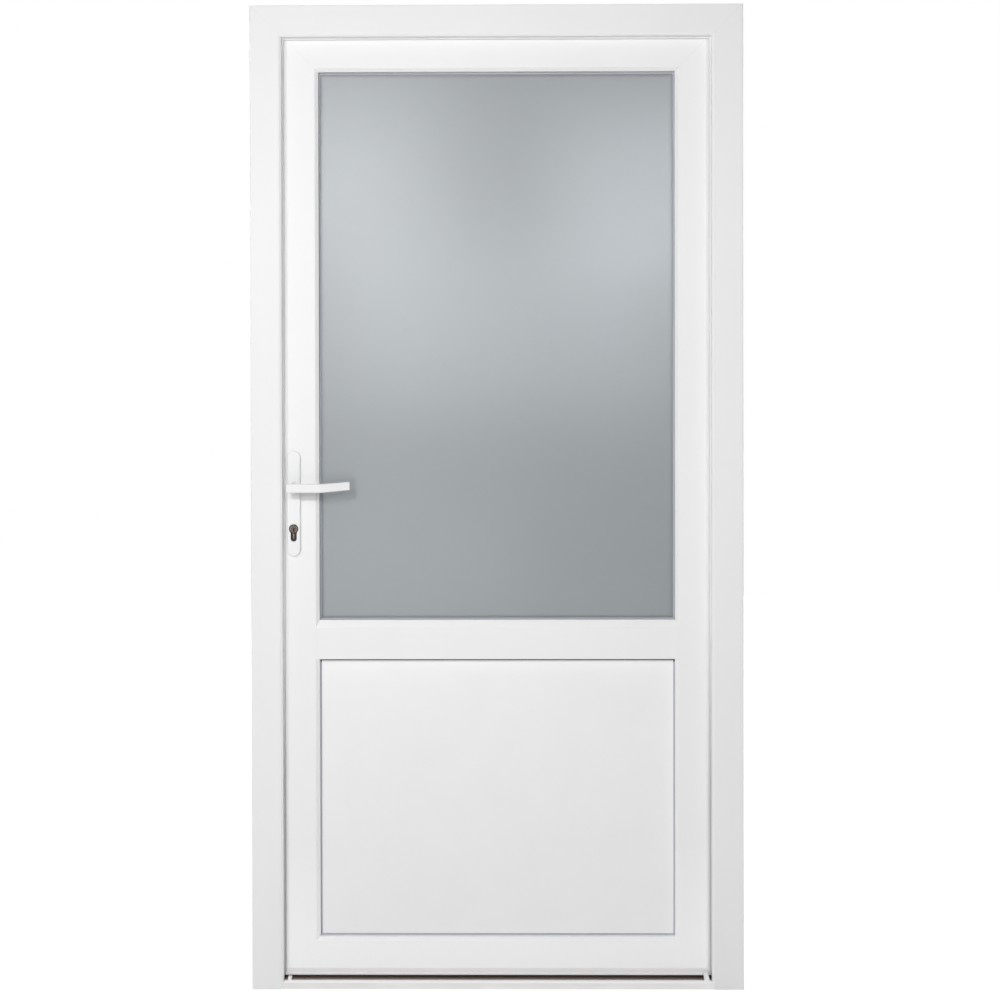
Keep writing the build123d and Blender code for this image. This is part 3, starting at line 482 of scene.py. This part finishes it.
def arc(centre, radius, start, end, steps):
    angles = [math.radians(start + (end - start) * i / steps) for i in range(steps + 1)]
    return [(centre[0] + radius * math.cos(a), centre[1] + radius * math.sin(a)) for a in angles]


def fullTurn(steps):
    return [2 * math.pi * i / steps for i in range(steps)]


def sidesOf(facing):
    # the direction that a round piece looks in, and the two across it
    facing = Vector(facing).normalized()
    side = facing.orthogonal().normalized()
    return facing, side, facing.cross(side)


# Seals: a section drawn as (inset from the rectangle, depth into the door), mitred at the corners
def sealRing(name, rect, section, finish, body):
    x0, z0, x1, z1 = rect
    shape = bmesh.new()
    corners = ((x0, z0, 1, 1), (x1, z0, -1, 1), (x1, z1, -1, -1), (x0, z1, 1, -1))
    loops = []
    for x, z, sideX, sideZ in corners:
        loops.append([shape.verts.new((x + sideX * u, y, z + sideZ * u)) for u, y in section])
    joinLoops(shape, loops + loops[:1])
    return newPiece(name, shape, finish, body, "seal")


def sealRuns(name, rect, foot, jambSection, headSection, finish, body):
    # two uprights and a head, each with its own section and closed at its ends
    x0, z0, x1, z1 = rect
    shape = bmesh.new()
    runs = [
        ([(x0 + u, y, foot) for u, y in jambSection], [(x0 + u, y, z1 - u) for u, y in jambSection]),
        ([(x1 - u, y, foot) for u, y in jambSection], [(x1 - u, y, z1 - u) for u, y in jambSection]),
        ([(x0 + u, y, z1 - u) for u, y in headSection], [(x1 - u, y, z1 - u) for u, y in headSection]),
    ]
    for start, end in runs:
        loops = [[shape.verts.new(point) for point in loop] for loop in (start, end)]
        joinLoops(shape, loops)
        shape.faces.new(loops[0])
        shape.faces.new(list(reversed(loops[1])))
    return newPiece(name, shape, finish, body, "seal")


seal = {
    "cover": 8.0,  # how much of it the profile's lip covers
    "shows": {"glass": 3.4, "panel": 2.7},
    "depth": 3.0,
    "groove": 0.5,
    "grooveSlope": 0.5,
    "grooveStart": (-0.4, 0.1, 0.5),  # the groove's three corners, from the lip's edge
    "foot": (0.6, 0.2),  # inset and depth of its first point
    "nose": 0.3,  # how deep the nose's front lies
    "noseAngles": (30, 46, 62, 76),
}


def glazingSection(front, back, filling):
    # a flat foot under the lip and a rounded nose that leans on the pane, front being the lip's side
    cover, shows, depth = seal["cover"], seal["shows"][filling], seal["depth"]
    before, corner, after = [cover + start for start in seal["grooveStart"]]
    inset, behind = seal["foot"]
    nose = [(cover + shows * math.sin(a), depth - (depth - seal["nose"]) * math.cos(a))
            for a in [math.radians(t) for t in seal["noseAngles"]]]
    points = [(inset, behind), (before, behind), (corner, seal["groove"] + seal["grooveSlope"]),
              (after, seal["groove"])]
    points += nose + [(cover + shows, depth), (inset, depth)]
    way = 1 if back > front else -1
    return [(u * millimetre, front + way * d * millimetre) for u, d in points]


def rectOf(name):
    low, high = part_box(name)
    return (low[0], low[2], high[0], high[2]), low[1], high[1]


for filling in ("glass", "panel"):
    rect, front, back = rectOf(filling + "_gasket_outer")
    outerSeal = greySeal
    if filling == "panel":
        # the top run of the panel's outer seal gets a painted shadow, the shade under the middle rail
        outerSeal = softFinish("greySeal", "dirt", *[rect[3] - below for below in softMarks["panelDirt"]])
    section = glazingSection(front, back, filling)
    ring = sealRing(filling + "SealOuter", rect, section, outerSeal, "leaf")
    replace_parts(ring, filling + "_gasket_outer")
    rect, front, back = rectOf(filling + "_gasket_inner")
    section = glazingSection(back, front, filling)
    ring = sealRing(filling + "SealInner", rect, section, greySeal, "leaf")
    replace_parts(ring, filling + "_gasket_inner")

# Frame seal: a bulb with its foot in the frame's groove, in millimetres from the door's outline and face
frameSeal = {
    "outline": (-0.5, 0.0, 0.5, 2.0),
    "seat": 56.0,
    "width": 3.0,
    "root": 14.0,
    "lip": 63.5,
    "lipDepth": 17.0,
    "nose": 66.5,
    "angles": (-90, -64, -40, -20, 0, 20, 40, 64, 90),
    "jambTip": 24.2,
    "headTip": 21.8,
    "tail": (2.0, 0.6),
    "middle": 35.0,  # from the frame's face to the middle of its depth
}


def frameSealSection(tip):
    f = frameSeal
    middle = (f["lipDepth"] + tip) / 2
    reach, half = f["nose"] - f["lip"], (tip - f["lipDepth"]) / 2
    far = f["seat"] + f["width"]
    bulb = [(f["lip"] + reach * math.cos(a), middle + half * math.sin(a))
            for a in [math.radians(t) for t in f["angles"]]]
    points = [(f["seat"], f["root"]), (far, f["root"]), (far, f["lipDepth"])]
    points += bulb + [(f["lip"] - f["tail"][0], tip - f["tail"][1]), (f["seat"], f["lipDepth"])]
    return [(u * millimetre, (d - f["middle"]) * millimetre) for u, d in points]


bulbSeal = sealRuns("frameSeal", frameSeal["outline"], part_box("frame_gasket")[0][2],
                    frameSealSection(frameSeal["jambTip"]), frameSealSection(frameSeal["headTip"]),
                    paleSeal, "frame")
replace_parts(bulbSeal, "frame_gasket")

# Leaf seal: the same kind of bulb on the lap
lapSeal = {
    "foot": [(1.5, 7.7), (1.5, 4.8), (0.35, 4.4)],
    "bulb": {"centre": (3.0, 2.9), "radius": 2.6, "start": 200, "end": -20, "steps": 10},
    "back": [(5.4, 4.4), (4.5, 4.8), (4.5, 7.7)],
}
rect, front = rectOf("leaf_gasket")[:2]
lapSection = lapSeal["foot"] + arc(**lapSeal["bulb"]) + lapSeal["back"]
lapRing = sealRing("leafSeal", rect, [(u * millimetre, front + d * millimetre) for u, d in lapSection],
                   paleSeal, "leaf")
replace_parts(lapRing, "leaf_gasket")
print("seals made")

# Brush under the leaf: rows of bristles on a thin core
brush = {
    "seed": 11,
    "rows": 5,
    "firstRow": 0.7,  # its distance from the front, in widths of a row
    "spareRows": 0.4,  # what the depth holds beyond the rows
    "pitch": 1.05,
    "pitchSpread": (0.85, 1.15),
    "start": 0.5,  # room before a row's first bristle, and up to as much again by chance
    "stop": 0.8,
    "radius": 0.19,
    "taper": 0.7,
    "corners": (0.0, 2.094, 4.189),  # angles of a bristle's three edges, in radians
    "lean": 0.35,
    "tipSpread": 0.4,
    "root": 2.8,
    "margin": 0.2,
    "core": 0.25,
    "coreRise": 0.6,
}
low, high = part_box("bottom_brush")
chance = random.Random(brush["seed"])
shape = bmesh.new()


def smallBox(shape, low, high):
    corners = [shape.verts.new((x, y, z)) for z in (low[2], high[2])
               for x, y in ((low[0], low[1]), (high[0], low[1]), (high[0], high[1]), (low[0], high[1]))]
    joinLoops(shape, [corners[:4], corners[4:]])
    closeEnds(shape, [corners[:4], corners[4:]])


def bristle(shape, root, tip, radius):
    rings = [[shape.verts.new((at[0] + r * math.cos(t), at[1] + r * math.sin(t), at[2]))
              for t in brush["corners"]] for at, r in ((root, radius), (tip, radius * brush["taper"]))]
    joinLoops(shape, rings)
    closeEnds(shape, rings)


brushMiddle = (low[1] + high[1]) / 2
margin = brush["margin"] * millimetre
rootLevel = high[2] - brush["root"] * millimetre
halfCore = brush["core"] * millimetre / 2
smallBox(shape, (low[0], low[1] + margin, rootLevel), (high[0], high[1] - margin, high[2]))
smallBox(shape, (low[0], brushMiddle - halfCore, low[2] + brush["coreRise"] * millimetre),
         (high[0], brushMiddle + halfCore, rootLevel))
for row in range(brush["rows"]):
    y = low[1] + (row + brush["firstRow"]) / (brush["rows"] + brush["spareRows"]) * (high[1] - low[1])
    x = low[0] + brush["start"] * millimetre + chance.random() * brush["start"] * millimetre
    while x < high[0] - brush["stop"] * millimetre:
        root = (x, y, rootLevel)
        lean = [chance.uniform(-1, 1) * brush["lean"] * millimetre for _ in range(2)]
        tip = (x + lean[0], min(max(y + lean[1], low[1] + margin), high[1] - margin),
               low[2] + chance.random() * brush["tipSpread"] * millimetre)
        bristle(shape, root, tip, brush["radius"] * millimetre)
        x += brush["pitch"] * millimetre * chance.uniform(*brush["pitchSpread"])
bristles = newPiece("brushBristles", shape, dustyBrush, "leaf", "bristle")
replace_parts(bristles, "bottom_brush")
print("brush made")

# Screws: a pan head with a star recess, as (reach, height, depth of the star's points)
screwProfile = [(1.0, 0.0, 0.0), (0.98, 0.45, 0.0), (0.86, 0.9, 0.0), (0.62, 1.0, 0.0),
                (0.46, 1.0, 0.13), (0.42, 0.15, 0.13), (0.1, 0.1, 0.0)]
screwSizes = {
    "plain": 3.2,
    "hingeFrame": 2.4,
    "hingeLeaf": 3.4,
    "rise": 0.45,
    "coatedRise": 0.8,
    "steps": 24,
    "points": 6,
}
screwPlaces = {
    "grooveDepth": 0.017,
    "faceplate": (0.2, 0.62, 0.884, 1.09, 1.34, 1.8),
    "strike": (0.958, 1.0185, 1.081),
    "camStrikes": (0.41, 1.59),
    "besideCam": (-0.03, 0.03),
    "hingeFrame": (0.4925, 0.038),  # side and depth
    "besideHinge": (-0.034, 0.0, 0.034),
    "hingeLeafDepth": 0.06,
    # side, and height from the hinge's middle
    "hingeLeaf": ((0.443, -0.036), (0.443, 0.036), (0.424, -0.036), (0.424, 0.036), (0.424, 0.0)),
    "plateFace": 0.066,
    "plateEnd": 0.0135,
    "threshold": (-0.4, -0.2, 0.0, 0.2, 0.4),
    "thresholdDepth": 0.022,
}


def screwHead(shape, at, facing, radius, rise):
    facing, side, other = sidesOf(facing)
    loops = []
    for reach, height, star in screwProfile:
        loop = []
        for t in fullTurn(screwSizes["steps"]):
            r = reach * (1 + star * math.cos(screwSizes["points"] * t))
            spot = (side * math.cos(t) + other * math.sin(t)) * r * radius + facing * height * rise
            loop.append(shape.verts.new(Vector(at) + spot * millimetre))
        loops.append(loop)
    joinLoops(shape, loops)
    closeEnds(shape, loops)


def screws(name, body, places, facing, radius=screwSizes["plain"], finish=zinc,
           rise=screwSizes["rise"]):
    shape = bmesh.new()
    for at in places:
        screwHead(shape, at, facing, radius, rise)
    newPiece(name, shape, finish, body, "screw")


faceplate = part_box("lock_faceplate")
screws("faceplateScrews", "leaf",
       [(faceplate[0][0], screwPlaces["grooveDepth"], z) for z in screwPlaces["faceplate"]], (-1, 0, 0))
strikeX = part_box("lock_strike")[1][0]
strikeLevels = list(screwPlaces["strike"])
strikeLevels += [z + d for z in screwPlaces["camStrikes"] for d in screwPlaces["besideCam"]]
screws("strikeScrews", "frame", [(strikeX, screwPlaces["grooveDepth"], z) for z in strikeLevels], (1, 0, 0))
hingeLevels = [(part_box("hinge_frame_" + name)[0][2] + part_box("hinge_frame_" + name)[1][2]) / 2
               for name in ("lower", "middle", "upper")]
screws("hingeFrameScrews", "frame",
       [(*screwPlaces["hingeFrame"], z + d) for z in hingeLevels for d in screwPlaces["besideHinge"]],
       (0, 1, 0), screwSizes["hingeFrame"])
screws("hingeLeafScrews", "leaf",
       [(x, screwPlaces["hingeLeafDepth"], z + d) for z in hingeLevels for x, d in screwPlaces["hingeLeaf"]],
       (0, 1, 0), screwSizes["hingeLeaf"])
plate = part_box("handle_plate_inner")
plateX = (plate[0][0] + plate[1][0]) / 2
plateEnds = (plate[0][2] + screwPlaces["plateEnd"], plate[1][2] - screwPlaces["plateEnd"])
screws("innerPlateScrews", "leaf", [(plateX, screwPlaces["plateFace"], z) for z in plateEnds], (0, 1, 0),
       screwSizes["plain"], powder, screwSizes["coatedRise"])
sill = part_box("threshold_inner")
screws("thresholdScrews", "frame",
       [(x, screwPlaces["thresholdDepth"], sill[1][2]) for x in screwPlaces["threshold"]], (0, 0, 1))

# White caps over the frame's fixings, on the faces that the closed leaf hides, and on the hinge pins
caps = {
    "dome": ((1.0, 0.0), (1.0, 0.35), (0.95, 0.62), (0.84, 0.82), (0.6, 0.94), (0.25, 1.0)),
    "steps": 32,
    "levels": (0.16, 0.72, 1.3, 1.86),
    "rebate": 0.449,
    "headSides": (-0.3, 0.3),
    "headLevel": 1.949,
    "depth": -0.006,
    "size": (0.006, 0.0013),  # radius and rise
    "pinSize": (0.0088, 0.0026),
    "pinRise": 0.053,  # from the middle of a hinge to the top of its knuckle
}


def cap(shape, at, facing, size):
    facing, side, other = sidesOf(facing)
    radius, rise = size
    loops = []
    for reach, height in caps["dome"]:
        spots = [(side * math.cos(t) + other * math.sin(t)) * reach * radius + facing * height * rise
                 for t in fullTurn(caps["steps"])]
        loops.append([shape.verts.new(Vector(at) + spot) for spot in spots])
    joinLoops(shape, loops)
    closeEnds(shape, loops)


whitePlastic = softFinish("whitePlastic")
shape = bmesh.new()
for z in caps["levels"]:
    cap(shape, (-caps["rebate"], caps["depth"], z), (1, 0, 0), caps["size"])
    cap(shape, (caps["rebate"], caps["depth"], z), (-1, 0, 0), caps["size"])
for x in caps["headSides"]:
    cap(shape, (x, caps["depth"], caps["headLevel"]), (0, 0, -1), caps["size"])
newPiece("frameFixingCaps", shape, whitePlastic, "frame", "cap")
shape = bmesh.new()
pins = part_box("hinge_pins")
pinX, pinY = (pins[0][0] + pins[1][0]) / 2, (pins[0][1] + pins[1][1]) / 2
for z in hingeLevels:
    cap(shape, (pinX, pinY, z + caps["pinRise"]), (0, 0, 1), caps["pinSize"])
newPiece("hingePinCaps", shape, whitePlastic, "frame", "cap")
print("screws and caps made")

# Lock cylinder: its outline, which the plates' cut-outs and the raised rims follow
lock = {
    "radius": 8.5,
    "lobe": 5.0,
    "drop": 19.5,
    "clearance": 1.2,
    "rim": 0.55,
    "rimSeat": 0.75,  # how far outside the cut-out the rim's middle stands, as a share of its radius
    "rimAngles": (0, 36, 72, 108, 144, 180),
}
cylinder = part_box("lock_cylinder")
cylinderZ = cylinder[1][2] - lock["radius"] * millimetre


def euroOutline(grow, steps=40):
    # clockwise from the barrel's lower left: over its top, then round the lobe
    barrel, lobe = lock["radius"] + grow, lock["lobe"] + grow
    join = math.degrees(math.asin(lobe / barrel))
    points = arc((0, 0), barrel, 270 - join, -90 + join, steps)
    points += arc((0, -lock["drop"]), lobe, 0, -180, steps // 2)
    return points


# Handle plates with soft edges, in place of the coarser solids
plateFacts = {
    "width": 27.0,
    "height": 214.0,
    "thick": 9.0,
    "seats": (-0.013, 0.057),  # the leaf's two faces, which the plates lie on
    "faces": (-0.022, 0.066),  # the plates' own
    "soft": 2.2,
    "softAngles": (18, 36, 54, 72, 90),
    "collar": 11.0,
    "rise": 4.0,
    "fillet": (0.8, 0.25),  # where the collar meets the plate: its reach, and its middle point's
    "round": (0.6, 0.18),  # the collar's outer edge, the same way
    "neck": 9.3,
    "edge": 0.3,
    "lever": 1.022,
}


def slotOutline(inset, steps=32):
    # a round-ended outline round the plate's middle, counter-clockwise
    radius = plateFacts["width"] / 2
    reach = plateFacts["height"] / 2 - radius
    return arc((0, reach), radius - inset, 0, 180, steps) + arc((0, -reach), radius - inset, 180, 360, steps)


def circleOutline(radius, steps=48):
    return [(radius * math.cos(t), radius * math.sin(t)) for t in fullTurn(steps)]


def ringOf(shape, outline, middle, height, facing):
    x, y, z = middle
    return [shape.verts.new((x + u * millimetre, y + facing * height * millimetre, z + v * millimetre))
            for u, v in outline]


def handlePlate(name, back, facing):
    thick, soft, collar, rise, neck, edge = [
        plateFacts[fact] for fact in ("thick", "soft", "collar", "rise", "neck", "edge")]
    shape = bmesh.new()
    middle = (plateX, back, (plate[0][2] + plate[1][2]) / 2)
    leverAt, cylinderAt = (plateX, back, plateFacts["lever"]), (plateX, back, cylinderZ)
    profile = [(0.0, 0.0), (0.0, thick - soft)]
    profile += [(soft * (1 - math.cos(a)), thick - soft * (1 - math.sin(a)))
                for a in [math.radians(t) for t in plateFacts["softAngles"]]]
    outer = [ringOf(shape, slotOutline(inset), middle, height, facing) for inset, height in profile]
    joinLoops(shape, outer)
    fillet, filletMiddle = plateFacts["fillet"]
    curve, curveMiddle = plateFacts["round"]
    profile = [(collar + fillet, 0.0), (collar + filletMiddle, filletMiddle), (collar, fillet),
               (collar, rise - curve), (collar - curveMiddle, rise - curveMiddle), (collar - curve, rise),
               (neck + edge, rise), (neck, rise - edge), (neck, -thick)]
    turned = [ringOf(shape, circleOutline(r), leverAt, thick + h, facing) for r, h in profile]
    joinLoops(shape, turned)
    cut = [ringOf(shape, euroOutline(lock["clearance"] + d), cylinderAt, h, facing)
           for d, h in ((edge, thick), (0.0, thick - edge), (0.0, 0.0))]
    joinLoops(shape, cut)
    for loops in ((outer[-1], turned[0], cut[0]), (outer[0], turned[-1], cut[-1])):
        edges = []
        for loop in loops:
            for first, second in zip(loop, loop[1:] + loop[:1]):
                edges.append(shape.edges.get((first, second)) or shape.edges.new((first, second)))
        filled = bmesh.ops.triangle_fill(shape, edges=edges, use_beauty=True)["geom"]
        for part in filled:
            part.tag = True  # flat faces, which newPiece leaves unsmoothed
    return newPiece(name, shape, powder, "leaf", "plate")


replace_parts(handlePlate("handlePlateOuter", plateFacts["seats"][0], -1), "handle_plate_outer")
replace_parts(handlePlate("handlePlateInner", plateFacts["seats"][1], 1), "handle_plate_inner")


def rimOf(name, y, facing):
    # half a round bar laid along the cut-out
    rim = lock["rim"]
    outline = euroOutline(lock["clearance"] + rim * lock["rimSeat"])
    shape = bmesh.new()
    loops = []
    for i, (x, z) in enumerate(outline):
        ahead, behind = outline[(i + 1) % len(outline)], outline[i - 1]
        along = Vector((ahead[0] - behind[0], 0, ahead[1] - behind[1])).normalized()
        across = Vector((along.z, 0, -along.x))
        ring = []
        for a in [math.radians(t) for t in lock["rimAngles"]]:
            off = across * math.cos(a) * rim + Vector((0, facing * math.sin(a) * rim, 0))
            spot = (Vector((x, 0, z)) + off) * millimetre
            ring.append(shape.verts.new(spot + Vector((plateX, y, cylinderZ))))
        loops.append(ring)
    joinLoops(shape, loops + loops[:1])
    return newPiece(name, shape, powder, "leaf", "rim")


rimOf("cylinderRimOuter", plateFacts["faces"][0], -1)
rimOf("cylinderRimInner", plateFacts["faces"][1], 1)

# Lighter trims on the cylinder, a painted highlight standing in for its glints: a ring round each plug and a
# strip on the lobe
trim = {
    "ring": [(6.1, 0.0), (6.3, 0.4), (6.9, 0.4), (7.2, 0.0)],  # radius and height
    "half": 1.1,
    "top": -11.5,
    "foot": -18.5,
    "steps": 10,
    "layers": ((1.0, 0.0), (0.97, 0.35), (0.8, 0.45)),  # share of the strip's size, and height
}


def lathe(shape, at, facing, profile, steps=40):
    # turn (radius, height) points round an axis; the last point closes on the first
    facing, side, other = sidesOf(facing)
    loops = []
    for r, h in profile:
        spots = [(side * math.cos(t) + other * math.sin(t)) * r + facing * h for t in fullTurn(steps)]
        loops.append([shape.verts.new(Vector(at) + spot * millimetre) for spot in spots])
    joinLoops(shape, loops + loops[:1])


for name, y, facing in (("Outer", cylinder[0][1], -1), ("Inner", cylinder[1][1], 1)):
    shape = bmesh.new()
    lathe(shape, (plateX, y, cylinderZ), (0, facing, 0), trim["ring"])
    half, top, foot, steps = trim["half"], trim["top"], trim["foot"], trim["steps"]
    strip = arc((0, foot), half, 0, -180, steps) + arc((0, top), half, 180, 0, steps)
    loops = []
    for k, h in trim["layers"]:
        outline = [(x * k, z * k + (1 - k) * (top + foot) / 2) for x, z in strip]
        loops.append(ringOf(shape, outline, (plateX, y, cylinderZ), h, facing))
    joinLoops(shape, loops)
    closeEnds(shape, loops)
    newPiece("cylinderGlintTrim" + name, shape, glintNickel, "leaf", "trim")

# Grub screw under each lever's neck
grub = {"depths": (-0.045, 0.089), "below": 0.00895, "radius": 2.2, "rise": 0.4}
grubZ = plateFacts["lever"] - grub["below"]
shape = bmesh.new()
for y in grub["depths"]:
    screwHead(shape, (plateX, y, grubZ), (0, 0, -1), grub["radius"], grub["rise"])
newPiece("leverGrubScrews", shape, zinc, "handle", "screw")
print("lock and lever details made")

# Floor: white to the camera, but it keeps the door's shadow close by
stage = {
    "size": 14.0,
    "level": -0.0005,
    "tones": (grey(0.8), grey(0.82)),
    "speck": 2.0,
    "roughness": 0.9,
    "glow": 1.2,
    "shadow": 0.28,  # share of the lit floor that shows near the door
    "near": 0.6,
    "far": 1.3,
}
mesh = bpy.data.meshes.new("studioFloor")
reach = stage["size"] / 2
mesh.from_pydata([(-reach, -reach, 0), (reach, -reach, 0), (reach, reach, 0), (-reach, reach, 0)], [],
                 [(0, 1, 2, 3)])
floor = bpy.data.objects.new("studioFloor", mesh)
scene.collection.objects.link(floor)
floor.location.z = stage["level"]
ground = Finish("paleFloor", Roughness=stage["roughness"])
ground.feed(Base_Color=ground.blend(ground.noise((stage["speck"],) * 3), *stage["tones"]))
glow = ground.add("ShaderNodeEmission", values={"Color": grey(1.0), "Strength": stage["glow"]})
eye, mirrored, through = ground.rays("Camera", "Glossy", "Transmission")
away = ground.add("ShaderNodeVectorMath", {"operation": "LENGTH"}, [ground.place()], output="Value")
share = ground.between(away, stage["shadow"], 0.0, stage["near"], stage["far"])
matt = Wire(ground, ground.shader.outputs[0])
both = ground.add("ShaderNodeMixShader", values=[eye * (1 - share) + mirrored + through, matt, glow])
ground.tree.links.new(both.socket, ground.tree.nodes["Material Output"].inputs["Surface"])
floor.data.materials.append(ground.owner)

# Lamps: most stand near the camera, weak ones shine softly through the satin pane from behind
lamps = {
    "left": {"at": (-0.72, -3.3, 2.1), "to": (0.0, 0.0, 1.1), "size": (0.2, 0.2), "power": 29.4},
    "leftLow": {"at": (-0.65, -3.3, 1.55), "to": (0.0, 0.0, 1.1), "size": (0.2, 0.2), "power": 14.4},
    "right": {"at": (0.67, -3.4, 2.0), "to": (0.0, 0.0, 1.1), "size": (0.2, 0.2), "power": 17.5},
    "wide": {"at": (-1.9, -3.0, 2.0), "to": (0.0, 0.0, 1.1), "size": (1.6, 1.6), "power": 13.0},
    "near": {"at": (-0.42, -2.0, 2.0), "to": (-0.2, 0.0, 1.6), "size": (0.4, 0.4), "power": 1.7},
    "low": {"at": (-0.5, -2.6, 0.35), "to": (-0.2, 0.0, 0.3), "size": (1.5, 0.4), "power": 4.6},
    "sideLeft": {"at": (-2.6, 1.7, 1.9), "to": (0.0, 0.0, 1.0), "size": (0.8, 1.2), "power": 36.0},
    "sideRight": {"at": (2.6, 1.7, 1.9), "to": (0.0, 0.0, 1.0), "size": (0.8, 1.2), "power": 36.0},
    "above": {"at": (0.0, 0.5, 3.5), "to": (0.0, 0.1, 1.0), "size": (1.6, 0.6), "power": 14.0},
    "backLeft": {"at": (-0.5, 1.5, 1.95), "to": (0.0, 0.0, 1.6), "size": (0.7, 0.5), "power": 0.8},
    "backRight": {"at": (0.5, 1.5, 1.85), "to": (0.0, 0.0, 1.6), "size": (0.7, 0.5), "power": 1.7},
    "backMiddle": {"at": (0.05, 1.5, 1.45), "to": (0.0, 0.0, 1.3), "size": (1.0, 0.5), "power": 1.6},
    "backLow": {"at": (-0.35, 1.5, 0.75), "to": (0.0, 0.0, 0.8), "size": (0.8, 0.4), "power": 0.5},
}
for name, facts in lamps.items():
    lamp = bpy.data.objects.new(name + "Lamp", bpy.data.lights.new(name + "Lamp", "AREA"))
    lamp.data.shape = "RECTANGLE"
    lamp.data.size, lamp.data.size_y = facts["size"]
    lamp.data.energy = facts["power"]
    lamp.location = facts["at"]
    aim = Vector(facts["to"]) - Vector(facts["at"])
    lamp.rotation_euler = aim.to_track_quat("-Z", "Y").to_euler()
    scene.collection.objects.link(lamp)

# World: a plain level for light, white where the camera, metal and glass see it
skyLevel = 0.12
scene.world = bpy.data.worlds.new("studioWorld")
sky = Finish("studioWorld", scene.world, "Background", Color=grey(1.0))
eye, mirrored, through = sky.rays("Camera", "Glossy", "Transmission")
sky.feed(Strength=sky.between(eye + mirrored + through, skyLevel, 1.0))

# Camera
camera = {
    "at": (0.0326, -3.235, 1.164),
    "down": 0.496,
    "turn": 0.466,
    "roll": -0.107,
    "lens": 56.8,
    "sensor": 36.0,
    "shift": -0.069,
    "nearest": 0.05,
}
cameraObject = bpy.data.objects.new("camera", bpy.data.cameras.new("camera"))
cameraObject.data.lens = camera["lens"]
cameraObject.data.sensor_width = camera["sensor"]
cameraObject.data.shift_y = camera["shift"]
cameraObject.data.clip_start = camera["nearest"]
cameraObject.location = camera["at"]
look = Euler((math.radians(90 - camera["down"]), 0, math.radians(camera["turn"]))).to_matrix()
look = look @ Euler((0, 0, math.radians(camera["roll"]))).to_matrix()
cameraObject.rotation_euler = look.to_euler()
scene.collection.objects.link(cameraObject)
scene.camera = cameraObject
scene.view_settings.view_transform = "Standard"

print("camera, lamps and floor placed")
